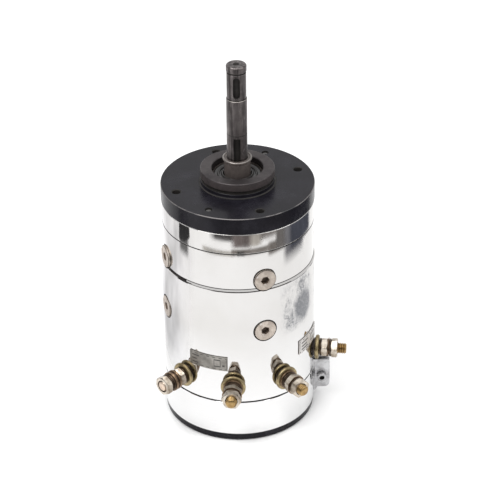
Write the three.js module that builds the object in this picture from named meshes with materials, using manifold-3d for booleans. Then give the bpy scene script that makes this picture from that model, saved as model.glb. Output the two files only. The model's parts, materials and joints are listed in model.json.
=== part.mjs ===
// A four-pole brushed direct-current motor with a round face flange and a keyed shaft.
// Millimetres. +Z runs along the shaft to the drive end, -Y is the front, and the origin
// is the centre of the rear cap's flat outer face.
// Angles are azimuths in degrees, counted from +X towards +Y.
import * as THREE from 'three';
import { mergeVertices } from 'three/addons/utils/BufferGeometryUtils.js';
import Module from 'manifold-3d';

const wasm = await Module();
wasm.setup();

// ---------------------------------------------------------------- driving dimensions
const GAP = 0.3;                  // clearance left between pieces that touch
const LARGE_SIDES = 36;           // facets round the casing
const MEDIUM_SIDES = 24;          // facets round the shaft and bearings
const SCREW_SIDES = 16;           // facets round the wide pole screws
const SMALL_SIDES = 12;           // facets round studs and small screws

const SHELL_RADIUS = 76;          // polished main casing
const UPPER_RADIUS = 74.5;        // casing above the step, and the drive-end ring
const BAND_SEAT_RADIUS = 74.6;    // casing under the brush cover band
const BAND_BORE_RADIUS = 75;
const BORE_RADIUS = 67.5;         // bore of the yoke tube
const SPIGOT_RADIUS = BORE_RADIUS - GAP;

const CAP_RADIUS = 75.5;
const CAP_TOP = 7.9;              // rim of the rear cap
const BAND_TOP = 46.3;            // upper edge of the brush cover band
const STEP_BOTTOM = 175.1;        // chamfered step in the casing
const STEP_TOP = 178.5;
const YOKE_TOP = 217.9;
const FLANGE_BOTTOM = 239.6;
const FLANGE_TOP = 257;
const FLANGE_RADIUS = 75;

const BOSS_RADIUS = 36.2;         // pilot boss on the flange
const BOSS_TOP = 272.3;
const BOSS_RECESS_RADIUS = 25;
const BOSS_GROOVE = { bottom: 261, top: 264.5, radius: 33.8 };

const POLE_COUNT = 4;
const POLE_START = 19.5;          // azimuth of the first pole
const POLE = { bottom: 103, top: 207, halfWidth: 18, faceRadius: 46.5, tipRadius: 51.5, tipAngle: 33 };
const POLE_SCREW_HEIGHTS = [129.5, 187];
const POLE_SCREW = {
  shank: 6.1, head: 11.2, innerEnd: 57, coneStart: 69.6, coneEnd: 74.2, top: 76.5, socket: 7.6,
};

const BOLT_CIRCLE_RADIUS = 62.6;  // threaded mounting holes in the flange
const MOUNT_HOLE_RADIUS = 4.25;
const MOUNT_HOLE_BOTTOM = 243;
const TIE_ROD_CIRCLE_RADIUS = 62.2;
const TIE_ROD_AZIMUTHS = [63.5, 243.5];
const TIE_ROD = { radius: 3, headRadius: 5, headBottom: 0.6, headTop: 4.6, top: 255.6 };

const TERMINAL_HEIGHT = 68.2;
const STUD = { radius: 5.5, headHalf: 7.5, innerEnd: 58.2, headEnd: 63.1, outerEnd: 109 };
const WASHER = { radius: 12.4, start: 77.7, end: 81.5 };
const NUT = { acrossFlats: 17.5, thickness: 6.3, hole: STUD.radius + GAP };
const TERMINALS = [
  { name: 'a', azimuth: 225.2, nutStarts: { inner: 84, outer: 102.4 } },
  { name: 'b', azimuth: 265.2, nutStarts: { inner: 88.3, outer: 97.6 } },
  { name: 'c', azimuth: 305.5, nutStarts: { inner: 88.3, outer: 97.6 } },
  { name: 'd', azimuth: 352.5, nutStarts: { inner: 84, outer: 93.9 } },
];

const CLAMP_AZIMUTH = 1.5;        // where the band is split
const EAR = { inner: 75.2, outer: 92.3, bottom: 12.6, top: 46, thickness: 1.2, halfGap: 2.5, corner: 5 };
const CLAMP_SCREW = {
  radius: 84, height: 27, shank: 2.9, head: 4.9, headLength: 5, nutFlats: 10, nutThickness: 4,
};

const LABEL = { bottom: 84.5, top: 100.5, innerRadius: SHELL_RADIUS + GAP, thickness: 0.6 };
const LABELS = { left: [230.5, 261], right: [320.5, 351] };

const SHAFT_TOP = 382;
const SHAFT_RADIUS = 10;
const SHAFT_END_RADIUS = 9.4;
const SHAFT_RIM_RADIUS = 9.8;     // beyond the retaining-ring groove
const SHAFT_SHOULDER = 346.8;
const KEYWAY_WIDTH = 6.4;
const KEYWAY_FLOOR = 6.2;         // distance of the keyway floor from the axis
const UPPER_KEYWAY = [349.2, 371.5];
const LOWER_KEYWAY = [278, 307];
const COLLAR = { bottom: 259.6, lipBottom: 281.6, top: 283.6, radius: 12.9, lipRadius: 14.3 };
const SEAL = { bottom: 259.4, top: 266.5, lipRadius: 13.3, outer: BOSS_RECESS_RADIUS - GAP };

const REAR_BEARING = { bottom: 4.6, top: 16.6, bore: 8.5, outer: 20 };
const DRIVE_BEARING = { bottom: 243.5, top: 258.3, bore: 12.5, outer: 25.9 };

const CORE = { bottom: 100, top: 203, radius: 45.8, slots: 25, slotWidth: 4.4, slotFloor: 30, seat: 14 };
const OVERHANG = { rearBottom: 70.6, frontTop: 224, inner: 21, outer: 43, sides: 18 };
const COMMUTATOR = {
  bottom: 19, riserBottom: 63, top: 70, radius: 26, riserRadius: 31, seat: 11, bars: 25,
};

const BRUSH = { inner: 26.4, outer: 50, halfWidth: 5, bottom: 22, top: 40 };
const BRUSH_BOX = { inner: 31, outer: 48, wall: 2, clearance: 0.4 };
const BRUSH_PLATE = { bottom: 42.2, top: 46.2, inner: 31, outer: 66.9 };
const BRUSH_WINDOW = { bottom: 14, top: 42, halfWidth: 16 };

const COIL = { bottom: 95, top: 214, inner: 51.9, outer: 66.8, halfWidth: 29.5, windowGap: 0.4 };
const COIL_LEAD_RING = { outer: 57, top: 99 };

// ---------------------------------------------------------------- materials
const polishedSteel = new THREE.MeshStandardMaterial({ color: 0xdcdcdf, roughness: 0.12, metalness: 1 });
const blackPaint = new THREE.MeshStandardMaterial({ color: 0x2e2e33, roughness: 0.35, metalness: 0.1 });
const darkSteel = new THREE.MeshStandardMaterial({ color: 0x5a5452, roughness: 0.45, metalness: 0.9 });
const screwSteel = new THREE.MeshStandardMaterial({ color: 0xb5ab9f, roughness: 0.5, metalness: 0.8 });
const nickel = new THREE.MeshStandardMaterial({ color: 0xcdc5b8, roughness: 0.35, metalness: 0.9 });
const brass = new THREE.MeshStandardMaterial({ color: 0xb08b45, roughness: 0.35, metalness: 1 });
const insulation = new THREE.MeshStandardMaterial({ color: 0x2a2420, roughness: 0.6, metalness: 0 });
const labelMetal = new THREE.MeshStandardMaterial({ color: 0x8d8a83, roughness: 0.45, metalness: 0.8 });
const rubber = new THREE.MeshStandardMaterial({ color: 0x1f1d1e, roughness: 0.7, metalness: 0 });
const bearingSteel = new THREE.MeshStandardMaterial({ color: 0xb9bbbe, roughness: 0.2, metalness: 1 });
const ironCore = new THREE.MeshStandardMaterial({ color: 0x6c6a68, roughness: 0.55, metalness: 0.9 });
const copper = new THREE.MeshStandardMaterial({ color: 0xb06a3b, roughness: 0.35, metalness: 1 });
const varnishedCopper = new THREE.MeshStandardMaterial({ color: 0x8a3f1d, roughness: 0.4, metalness: 0.4 });
const carbon = new THREE.MeshStandardMaterial({ color: 0x3a3634, roughness: 0.7, metalness: 0.2 });

// ---------------------------------------------------------------- solids
const radians = (degrees) => THREE.MathUtils.degToRad(degrees);

// The closed solid that a geometry bounds, with shared vertices merged.
function toSolid(geometry) {
  const bare = geometry.clone();
  bare.deleteAttribute('normal');
  bare.deleteAttribute('uv');
  const merged = mergeVertices(bare, 1e-4);
  const corners = merged.getIndex().array;
  const kept = [];
  for (let i = 0; i < corners.length; i += 3) {
    const [a, b, c] = corners.slice(i, i + 3);
    if (a !== b && b !== c && c !== a) {
      kept.push(a, b, c);
    }
  }
  const vertProperties = merged.getAttribute('position').array;
  return new wasm.Manifold(new wasm.Mesh({ numProp: 3, vertProperties, triVerts: Uint32Array.from(kept) }));
}

function toGeometry(solid) {
  const { vertProperties, triVerts } = solid.getMesh();
  const geometry = new THREE.BufferGeometry();
  geometry.setAttribute('position', new THREE.BufferAttribute(vertProperties, 3));
  geometry.setIndex(new THREE.BufferAttribute(triVerts, 1));
  geometry.computeVertexNormals();
  return geometry;
}

function cut(body, ...tools) {
  return toGeometry(tools.reduce((solid, tool) => solid.subtract(toSolid(tool)), toSolid(body)));
}

function join(body, ...others) {
  return toGeometry(others.reduce((solid, other) => solid.add(toSolid(other)), toSolid(body)));
}

function common(body, other) {
  return toGeometry(toSolid(body).intersect(toSolid(other)));
}

// A turned solid about Z from [radius, height] points, anticlockwise in the radius-height plane.
function turned(profile, sides) {
  const points = profile.map(([radius, height]) => new THREE.Vector2(radius, height));
  return new THREE.LatheGeometry(points, sides).rotateX(Math.PI / 2);
}

function turnedRing(profile, sides) {
  return turned([...profile, profile[0]], sides);
}

function tube(inner, outer, bottom, top, sides) {
  return turnedRing([[inner, bottom], [outer, bottom], [outer, top], [inner, top]], sides);
}

function rod(radius, bottom, top, sides) {
  return turned([[0, bottom], [radius, bottom], [radius, top], [0, top]], sides);
}

function block([x0, x1], [y0, y1], [z0, z1]) {
  const box = new THREE.BoxGeometry(x1 - x0, y1 - y0, z1 - z0);
  return box.translate((x0 + x1) / 2, (y0 + y1) / 2, (z0 + z1) / 2);
}

function prism(shape, bottom, top, curveSegments = 8) {
  const settings = { depth: top - bottom, bevelEnabled: false, curveSegments };
  return new THREE.ExtrudeGeometry(shape, settings).translate(0, 0, bottom);
}

function hexagon(acrossFlats) {
  const corner = acrossFlats / Math.sqrt(3);
  const points = [];
  for (let i = 0; i < 6; i += 1) {
    points.push(new THREE.Vector2(corner * Math.cos(radians(60 * i)), corner * Math.sin(radians(60 * i))));
  }
  return new THREE.Shape(points);
}

function hexNut(acrossFlats, hole, bottom, top) {
  return cut(prism(hexagon(acrossFlats), bottom, top), rod(hole, bottom - 1, top + 1, SMALL_SIDES));
}

// Turns a solid built along Z so that it points outwards along an azimuth.
function outward(geometry, azimuth, height) {
  return geometry.rotateY(Math.PI / 2).rotateZ(radians(azimuth)).translate(0, 0, height);
}

function onCircle(geometry, radius, azimuth) {
  return geometry.translate(radius * Math.cos(radians(azimuth)), radius * Math.sin(radians(azimuth)), 0);
}

const poleAzimuths = Array.from({ length: POLE_COUNT }, (_, i) => POLE_START + (i * 360) / POLE_COUNT);

// ---------------------------------------------------------------- assembly helpers
const motor = new THREE.Group();

function piece(name, geometry, material, parent = motor) {
  const mesh = new THREE.Mesh(geometry, material);
  mesh.name = name;
  parent.add(mesh);
  return mesh;
}

// A group whose local +Z points outwards from the axis at an azimuth and height.
function radialGroup(azimuth, height) {
  const bearing = new THREE.Group();
  bearing.rotation.z = radians(azimuth);
  bearing.position.z = height;
  const spoke = new THREE.Group();
  spoke.rotation.y = Math.PI / 2;
  bearing.add(spoke);
  motor.add(bearing);
  return spoke;
}

// ---------------------------------------------------------------- casing
function tieRodHoles(radius, bottom, top) {
  return TIE_ROD_AZIMUTHS.map((azimuth) => (
    onCircle(rod(radius, bottom, top, SMALL_SIDES), TIE_ROD_CIRCLE_RADIUS, azimuth)
  ));
}

function rearEndCap() {
  const hubRadius = 26;
  const seatRadius = REAR_BEARING.outer + GAP;
  const floor = 4.2;
  const spigotTop = 13.5;
  const body = turned([
    [0, 0], [CAP_RADIUS - 1.4, 0], [CAP_RADIUS, 1.4], [CAP_RADIUS, CAP_TOP], [SPIGOT_RADIUS, CAP_TOP],
    [SPIGOT_RADIUS, spigotTop], [57, spigotTop], [57, 7], [hubRadius, 7], [hubRadius, 17.2],
    [seatRadius, 17.2], [seatRadius, floor], [0, floor],
  ], LARGE_SIDES);
  const rodHoles = tieRodHoles(TIE_ROD.radius + GAP, -1, spigotTop + 1);
  const headHoles = tieRodHoles(TIE_ROD.headRadius + 0.5, -1, TIE_ROD.headTop + GAP);
  return cut(body, ...rodHoles, ...headHoles);
}

function poleScrewHole(azimuth, height) {
  const { shank, head, coneStart, coneEnd } = POLE_SCREW;
  const hole = turned([
    [0, BORE_RADIUS - 3], [shank + 0.4, BORE_RADIUS - 3], [shank + 0.4, coneStart - 0.4],
    [head + 0.4, coneEnd - 0.4], [head + 0.4, SHELL_RADIUS + 4], [0, SHELL_RADIUS + 4],
  ], SCREW_SIDES);
  return outward(hole, azimuth, height);
}

function yokeTube() {
  const bottom = CAP_TOP + GAP;
  const body = turnedRing([
    [BORE_RADIUS, bottom], [BAND_SEAT_RADIUS, bottom], [BAND_SEAT_RADIUS, BAND_TOP + GAP],
    [SHELL_RADIUS, BAND_TOP + GAP], [SHELL_RADIUS, STEP_BOTTOM], [UPPER_RADIUS, STEP_TOP],
    [UPPER_RADIUS, YOKE_TOP], [BORE_RADIUS, YOKE_TOP],
  ], LARGE_SIDES);
  const windows = poleAzimuths.map((azimuth) => {
    const { bottom: low, top: high, halfWidth } = BRUSH_WINDOW;
    return block([60, 80], [-halfWidth, halfWidth], [low, high]).rotateZ(radians(azimuth));
  });
  const screwHoles = poleAzimuths.flatMap((azimuth) => (
    POLE_SCREW_HEIGHTS.map((height) => poleScrewHole(azimuth, height))
  ));
  const studHoles = TERMINALS.map(({ azimuth }) => (
    outward(rod(8.6, 60, 80, SMALL_SIDES), azimuth, TERMINAL_HEIGHT)
  ));
  return cut(body, ...windows, ...screwHoles, ...studHoles);
}

function driveEndRing() {
  const bottom = YOKE_TOP + GAP;
  const spigotBottom = 215;
  const spigotInner = TIE_ROD_CIRCLE_RADIUS + TIE_ROD.radius + 0.6;
  return turnedRing([
    [spigotInner, spigotBottom], [SPIGOT_RADIUS, spigotBottom], [SPIGOT_RADIUS, bottom],
    [UPPER_RADIUS, bottom], [UPPER_RADIUS, FLANGE_BOTTOM - GAP], [BORE_RADIUS, FLANGE_BOTTOM - GAP],
    [BORE_RADIUS, bottom + 4], [spigotInner, bottom + 4],
  ], LARGE_SIDES);
}

function driveEndFlange() {
  const chamfer = 0.8;
  const seat = DRIVE_BEARING.outer + GAP;
  const spigotBottom = 232;
  const spigotInner = 58;
  const body = turnedRing([
    [seat, FLANGE_BOTTOM], [spigotInner, FLANGE_BOTTOM], [spigotInner, spigotBottom],
    [SPIGOT_RADIUS, spigotBottom], [SPIGOT_RADIUS, FLANGE_BOTTOM],
    [FLANGE_RADIUS - chamfer, FLANGE_BOTTOM], [FLANGE_RADIUS, FLANGE_BOTTOM + chamfer],
    [FLANGE_RADIUS, FLANGE_TOP - chamfer], [FLANGE_RADIUS - chamfer, FLANGE_TOP], [BOSS_RADIUS, FLANGE_TOP],
    [BOSS_RADIUS, BOSS_GROOVE.bottom], [BOSS_GROOVE.radius, BOSS_GROOVE.bottom],
    [BOSS_GROOVE.radius, BOSS_GROOVE.top], [BOSS_RADIUS, BOSS_GROOVE.top],
    [BOSS_RADIUS, BOSS_TOP - chamfer], [BOSS_RADIUS - chamfer, BOSS_TOP],
    [BOSS_RECESS_RADIUS + chamfer, BOSS_TOP], [BOSS_RECESS_RADIUS, BOSS_TOP - chamfer],
    [BOSS_RECESS_RADIUS, DRIVE_BEARING.top + GAP], [seat, DRIVE_BEARING.top + GAP],
  ], LARGE_SIDES);
  const drill = rod(MOUNT_HOLE_RADIUS, MOUNT_HOLE_BOTTOM, FLANGE_TOP + 1, SMALL_SIDES);
  const mountHoles = poleAzimuths.map((azimuth) => onCircle(drill.clone(), BOLT_CIRCLE_RADIUS, azimuth));
  return cut(body, ...mountHoles, ...tieRodHoles(TIE_ROD.radius + 0.5, spigotBottom - 1, FLANGE_TOP + 1));
}

function tieRod() {
  const { radius, headRadius, headBottom, headTop, top } = TIE_ROD;
  return turned([
    [0, headBottom], [headRadius, headBottom], [headRadius, headTop], [radius, headTop],
    [radius, top], [0, top],
  ], SMALL_SIDES);
}

piece('rear_end_cap', rearEndCap(), blackPaint);
piece('yoke_tube', yokeTube(), polishedSteel);
piece('drive_end_ring', driveEndRing(), polishedSteel);
piece('drive_end_flange', driveEndFlange(), blackPaint);
TIE_ROD_AZIMUTHS.forEach((azimuth, i) => {
  const mesh = piece(`tie_rod_${i + 1}`, tieRod(), screwSteel);
  mesh.position.x = TIE_ROD_CIRCLE_RADIUS * Math.cos(radians(azimuth));
  mesh.position.y = TIE_ROD_CIRCLE_RADIUS * Math.sin(radians(azimuth));
});

// ---------------------------------------------------------------- brush cover band
function earPlate(near) {
  const { inner, outer, bottom, top, thickness, halfGap, corner } = EAR;
  const shape = new THREE.Shape();
  shape.moveTo(inner, bottom);
  shape.lineTo(outer - corner, bottom);
  shape.absarc(outer - corner, bottom + corner, corner, -Math.PI / 2, 0, false);
  shape.lineTo(outer, top);
  shape.lineTo(inner, top);
  shape.closePath();
  const outerFace = near ? -halfGap : halfGap + thickness;
  const plate = prism(shape, 0, thickness, 4).rotateX(Math.PI / 2).translate(0, outerFace, 0);
  const bolt = rod(CLAMP_SCREW.shank + 0.4, -10, 10, SMALL_SIDES).rotateX(-Math.PI / 2);
  return cut(plate, bolt.translate(CLAMP_SCREW.radius, 0, CLAMP_SCREW.height));
}

function brushCoverBand() {
  const sheet = tube(BAND_BORE_RADIUS, SHELL_RADIUS, CAP_TOP + GAP, BAND_TOP, LARGE_SIDES);
  const split = block([70, 80], [-EAR.halfGap, EAR.halfGap], [0, 60]);
  return join(cut(sheet, split), earPlate(true), earPlate(false));
}

function clampScrew() {
  const { shank, head, headLength } = CLAMP_SCREW;
  const seat = EAR.halfGap + EAR.thickness + GAP;
  const body = turned([
    [0, -seat - headLength], [head, -seat - headLength], [head, -seat], [shank, -seat],
    [shank, seat + 6], [0, seat + 6],
  ], SMALL_SIDES);
  return cut(body, prism(hexagon(5), -seat - headLength - 1, -seat - headLength + 3)).rotateX(-Math.PI / 2);
}

function clampNut() {
  const seat = EAR.halfGap + EAR.thickness + GAP;
  const { nutFlats, nutThickness, shank } = CLAMP_SCREW;
  return hexNut(nutFlats, shank + GAP, seat, seat + nutThickness).rotateX(-Math.PI / 2);
}

const clamp = new THREE.Group();
clamp.rotation.z = radians(CLAMP_AZIMUTH);
motor.add(clamp);
piece('brush_cover_band', brushCoverBand(), polishedSteel, clamp);
[['band_clamp_screw', clampScrew()], ['band_clamp_nut', clampNut()]].forEach(([name, geometry]) => {
  piece(name, geometry, nickel, clamp).position.set(CLAMP_SCREW.radius, 0, CLAMP_SCREW.height);
});

// ---------------------------------------------------------------- label plates
function labelPlate([start, end]) {
  const { innerRadius, thickness, bottom, top } = LABEL;
  const shape = new THREE.Shape();
  shape.absarc(0, 0, innerRadius + thickness, radians(start), radians(end), false);
  shape.absarc(0, 0, innerRadius, radians(end), radians(start), true);
  shape.closePath();
  return prism(shape, bottom, top, 6);
}

Object.entries(LABELS).forEach(([side, span]) => {
  piece(`label_plate_${side}`, labelPlate(span), labelMetal);
});

// ---------------------------------------------------------------- poles and field winding
function poleShape() {
  const { halfWidth, faceRadius, tipRadius, tipAngle } = POLE;
  const tip = radians(tipAngle);
  const neck = Math.asin(halfWidth / tipRadius);
  const root = Math.asin(halfWidth / SPIGOT_RADIUS);
  const shape = new THREE.Shape();
  shape.absarc(0, 0, faceRadius, tip, -tip, true);
  shape.absarc(0, 0, tipRadius, -tip, -neck, false);
  shape.absarc(0, 0, SPIGOT_RADIUS, -root, root, false);
  shape.absarc(0, 0, tipRadius, neck, tip, false);
  shape.closePath();
  return shape;
}

function poleShoe() {
  const drilled = POLE_SCREW_HEIGHTS.map((height) => (
    outward(rod(POLE_SCREW.shank + 0.4, POLE_SCREW.innerEnd - 0.6, 70, SMALL_SIDES), 0, height)
  ));
  return cut(prism(poleShape(), POLE.bottom, POLE.top, 5), ...drilled);
}

function poleScrew() {
  const { shank, head, innerEnd, coneStart, coneEnd, top, socket } = POLE_SCREW;
  const body = turned([
    [0, innerEnd], [shank, innerEnd], [shank, coneStart], [head, coneEnd], [head, top], [0, top],
  ], SCREW_SIDES);
  return cut(body, prism(hexagon(socket), top - 4, top + 1));
}

function fieldWinding() {
  const { bottom, top, inner, outer, halfWidth, windowGap } = COIL;
  const annulus = tube(inner, outer, bottom, top, LARGE_SIDES);
  const window = POLE.halfWidth + windowGap;
  const coils = poleAzimuths.map((azimuth) => {
    const slab = block([40, 80], [-halfWidth, halfWidth], [bottom - 1, top + 1]).rotateZ(radians(azimuth));
    const opening = block([40, 80], [-window, window], [POLE.bottom - windowGap, POLE.top + windowGap]);
    return cut(common(annulus, slab), opening.rotateZ(radians(azimuth)));
  });
  return join(tube(inner, COIL_LEAD_RING.outer, bottom, COIL_LEAD_RING.top, LARGE_SIDES), ...coils);
}

poleAzimuths.forEach((azimuth, i) => {
  piece(`pole_shoe_${i + 1}`, poleShoe(), ironCore).rotation.z = radians(azimuth);
  POLE_SCREW_HEIGHTS.forEach((height, j) => {
    const place = ['lower', 'upper'][j];
    piece(`pole_screw_${i + 1}_${place}`, poleScrew(), screwSteel, radialGroup(azimuth, height));
  });
});
piece('field_winding', fieldWinding(), varnishedCopper);

// ---------------------------------------------------------------- terminals
function terminalStud() {
  const { radius, headHalf, innerEnd, headEnd, outerEnd } = STUD;
  const head = block([-headHalf, headHalf], [-headHalf, headHalf], [innerEnd, headEnd]);
  return join(head, rod(radius, innerEnd + 1, outerEnd, SMALL_SIDES));
}

function terminalInsulator() {
  const bore = STUD.radius + GAP;
  return turnedRing([
    [bore, STUD.headEnd + GAP], [8.2, STUD.headEnd + GAP], [8.2, SHELL_RADIUS + GAP],
    [9.5, SHELL_RADIUS + GAP], [9.5, WASHER.start - GAP], [bore, WASHER.start - GAP],
  ], SMALL_SIDES);
}

TERMINALS.forEach(({ name, azimuth, nutStarts }) => {
  const spoke = radialGroup(azimuth, TERMINAL_HEIGHT);
  const { acrossFlats, thickness, hole } = NUT;
  const washer = tube(hole, WASHER.radius, WASHER.start, WASHER.end, SCREW_SIDES);
  piece(`terminal_${name}_stud`, terminalStud(), brass, spoke);
  piece(`terminal_${name}_insulator`, terminalInsulator(), insulation, spoke);
  piece(`terminal_${name}_washer`, washer, brass, spoke);
  Object.entries(nutStarts).forEach(([place, start]) => {
    const nut = hexNut(acrossFlats, hole, start, start + thickness);
    piece(`terminal_${name}_${place}_nut`, nut, nickel, spoke);
  });
});

// ---------------------------------------------------------------- brush gear
function brushBox(azimuth) {
  const { inner, outer, wall, clearance } = BRUSH_BOX;
  const side = BRUSH.halfWidth + clearance;
  const low = BRUSH.bottom - clearance;
  const high = BRUSH.top + clearance;
  const outside = block([inner, outer], [-side - wall, side + wall], [low - wall, BRUSH_PLATE.bottom + 1]);
  const inside = block([inner - 2, outer + 2], [-side, side], [low, high]);
  return cut(outside, inside).rotateZ(radians(azimuth));
}

function brushRing() {
  const { bottom, top, inner, outer } = BRUSH_PLATE;
  const rodHoles = tieRodHoles(TIE_ROD.radius + 0.5, bottom - 1, top + 1);
  const plate = cut(tube(inner, outer, bottom, top, LARGE_SIDES), ...rodHoles);
  return join(plate, ...poleAzimuths.map(brushBox));
}

piece('brush_ring', brushRing(), insulation);
poleAzimuths.forEach((azimuth, i) => {
  const { inner, outer, halfWidth, bottom, top } = BRUSH;
  const brush = block([inner, outer], [-halfWidth, halfWidth], [bottom, top]);
  piece(`carbon_brush_${i + 1}`, brush, carbon).rotation.z = radians(azimuth);
});

// ---------------------------------------------------------------- armature
function keywayTool([bottom, top], roundEnds) {
  const half = KEYWAY_WIDTH / 2;
  const shape = new THREE.Shape();
  if (roundEnds) {
    shape.absarc(0, bottom + half, half, Math.PI, 2 * Math.PI, false);
    shape.absarc(0, top - half, half, 0, Math.PI, false);
  } else {
    shape.moveTo(-half, bottom);
    shape.lineTo(half, bottom);
    shape.lineTo(half, top);
    shape.lineTo(-half, top);
  }
  shape.closePath();
  return prism(shape, KEYWAY_FLOOR, 20, 5).rotateX(Math.PI / 2);
}

function shaft() {
  const groove = { bottom: 373.9, top: 375.5, radius: 8.9 };
  const chamfer = 0.8;
  const body = turned([
    [0, 5.5], [REAR_BEARING.bore, 5.5], [REAR_BEARING.bore, 16.9], [COMMUTATOR.seat, 16.9],
    [COMMUTATOR.seat, 98], [CORE.seat, 98], [CORE.seat, 206], [DRIVE_BEARING.bore, 206],
    [DRIVE_BEARING.bore, 259.2], [SHAFT_RADIUS, 259.2], [SHAFT_RADIUS, SHAFT_SHOULDER],
    [SHAFT_END_RADIUS, SHAFT_SHOULDER], [SHAFT_END_RADIUS, groove.bottom], [groove.radius, groove.bottom],
    [groove.radius, groove.top], [SHAFT_RIM_RADIUS, groove.top], [SHAFT_RIM_RADIUS, SHAFT_TOP - chamfer],
    [SHAFT_RIM_RADIUS - chamfer, SHAFT_TOP], [2.7, SHAFT_TOP], [0, SHAFT_TOP - 4.5],
  ], MEDIUM_SIDES);
  return cut(body, keywayTool(UPPER_KEYWAY, true), keywayTool(LOWER_KEYWAY, false));
}

function shaftCollar() {
  const { bottom, lipBottom, top, radius, lipRadius } = COLLAR;
  const bore = SHAFT_RADIUS + GAP;
  return turnedRing([
    [bore, bottom], [radius, bottom], [radius, lipBottom - 1], [lipRadius, lipBottom],
    [lipRadius, top - 0.4], [lipRadius - 0.6, top], [bore, top],
  ], MEDIUM_SIDES);
}

function shaftSeal() {
  const { bottom, top, lipRadius, outer } = SEAL;
  return turnedRing([
    [lipRadius, bottom], [outer, bottom], [outer, top], [outer - 1.6, top], [outer - 2.4, top - 2.2],
    [17.5, top - 2.2], [16.2, top - 0.6], [14.2, top - 0.6], [lipRadius, top - 2],
  ], MEDIUM_SIDES);
}

// A ring with slots cut in from its rim.
function slottedRing(bore, radius, bottom, top, slots, slotWidth, slotFloor) {
  const body = tube(bore, radius, bottom, top, slots);
  const tools = Array.from({ length: slots }, (_, i) => (
    block([slotFloor, radius + 5], [-slotWidth / 2, slotWidth / 2], [bottom - 1, top + 1])
      .rotateZ(radians((i * 360) / slots))
  ));
  return cut(body, ...tools);
}

function armatureCore() {
  const { bottom, top, radius, slots, slotWidth, slotFloor, seat } = CORE;
  return slottedRing(seat + GAP, radius, bottom, top, slots, slotWidth, slotFloor);
}

function armatureWinding() {
  const { rearBottom, frontTop, inner, outer, sides } = OVERHANG;
  const rear = turnedRing([
    [inner, rearBottom + 4], [inner + 4, rearBottom], [33, rearBottom], [outer, rearBottom + 12],
    [outer, CORE.bottom - GAP], [inner, CORE.bottom - GAP],
  ], sides);
  const front = turnedRing([
    [inner, CORE.top + GAP], [outer, CORE.top + GAP], [outer, frontTop - 8], [outer - 8, frontTop],
    [inner + 4, frontTop], [inner, frontTop - 4],
  ], sides);
  const half = CORE.slotWidth / 2 - GAP;
  const bars = Array.from({ length: CORE.slots }, (_, i) => (
    block([CORE.slotFloor + GAP, outer - 1], [-half, half], [CORE.bottom - 2, CORE.top + 2])
      .rotateZ(radians((i * 360) / CORE.slots))
  ));
  return join(rear, front, ...bars);
}

function commutator() {
  const { bottom, riserBottom, top, radius, riserRadius, seat, bars } = COMMUTATOR;
  const track = slottedRing(seat + GAP, radius, bottom, riserBottom + 1, bars, 0.7, radius - 0.9);
  return join(track, tube(seat + GAP, riserRadius, riserBottom, top, MEDIUM_SIDES));
}

piece('shaft', shaft(), darkSteel);
piece('shaft_collar', shaftCollar(), darkSteel);
piece('shaft_seal', shaftSeal(), rubber);
piece('armature_core', armatureCore(), ironCore);
piece('armature_winding', armatureWinding(), varnishedCopper);
piece('commutator', commutator(), copper);

// ---------------------------------------------------------------- bearings
[['rear', REAR_BEARING], ['drive', DRIVE_BEARING]].forEach(([end, { bottom, top, bore, outer }]) => {
  const race = (outer - bore) * 0.3;
  const innerRace = tube(bore + GAP, bore + GAP + race, bottom, top, MEDIUM_SIDES);
  const outerRace = tube(outer - race, outer, bottom, top, MEDIUM_SIDES);
  piece(`${end}_bearing_inner_race`, innerRace, bearingSteel);
  piece(`${end}_bearing_outer_race`, outerRace, bearingSteel);
});

export default motor;
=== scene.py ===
import json
import math
import random

import bpy
from mathutils import Matrix, Vector


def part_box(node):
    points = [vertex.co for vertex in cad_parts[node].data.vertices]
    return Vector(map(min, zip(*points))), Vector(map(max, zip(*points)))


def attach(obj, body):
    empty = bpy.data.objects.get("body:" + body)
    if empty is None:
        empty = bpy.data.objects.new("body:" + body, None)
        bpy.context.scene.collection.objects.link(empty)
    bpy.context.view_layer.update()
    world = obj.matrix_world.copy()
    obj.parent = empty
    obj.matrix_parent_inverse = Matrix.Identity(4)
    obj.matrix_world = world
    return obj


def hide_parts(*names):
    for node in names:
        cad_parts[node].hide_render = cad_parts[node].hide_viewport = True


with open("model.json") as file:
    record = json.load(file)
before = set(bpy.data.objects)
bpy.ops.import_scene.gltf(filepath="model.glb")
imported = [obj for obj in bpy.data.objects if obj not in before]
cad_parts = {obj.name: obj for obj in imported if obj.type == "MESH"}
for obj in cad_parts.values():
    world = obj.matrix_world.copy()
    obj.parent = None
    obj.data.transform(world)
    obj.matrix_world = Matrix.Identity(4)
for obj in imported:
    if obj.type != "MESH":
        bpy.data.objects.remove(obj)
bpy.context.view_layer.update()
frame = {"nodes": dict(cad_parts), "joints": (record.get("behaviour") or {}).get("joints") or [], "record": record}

# ------------------------------------------------------------------ units and sizes
# Shapes are worked out in millimetres and turned into metres when a mesh is made.
MM = 0.001
TAU = 2 * math.pi
GAP = 0.3


def low(node):
    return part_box(node)[0] / MM


def high(node):
    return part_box(node)[1] / MM


def radius_of(node):
    return high(node).x


JOINT_AXIS = {joint["name"]: Vector(joint["axis"]) for joint in frame["joints"]}
MOUNT = {mount["name"]: mount for mount in frame["record"]["mounts"]}


def azimuth_of(vector):
    return math.atan2(vector[1], vector[0])


POLES = [azimuth_of(JOINT_AXIS[f"brush_{i}_slide"]) for i in (1, 2, 3, 4)]
TERMINALS = {name: azimuth_of(MOUNT[f"terminal_{name}_face"]["axis"]) for name in "abcd"}

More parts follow.
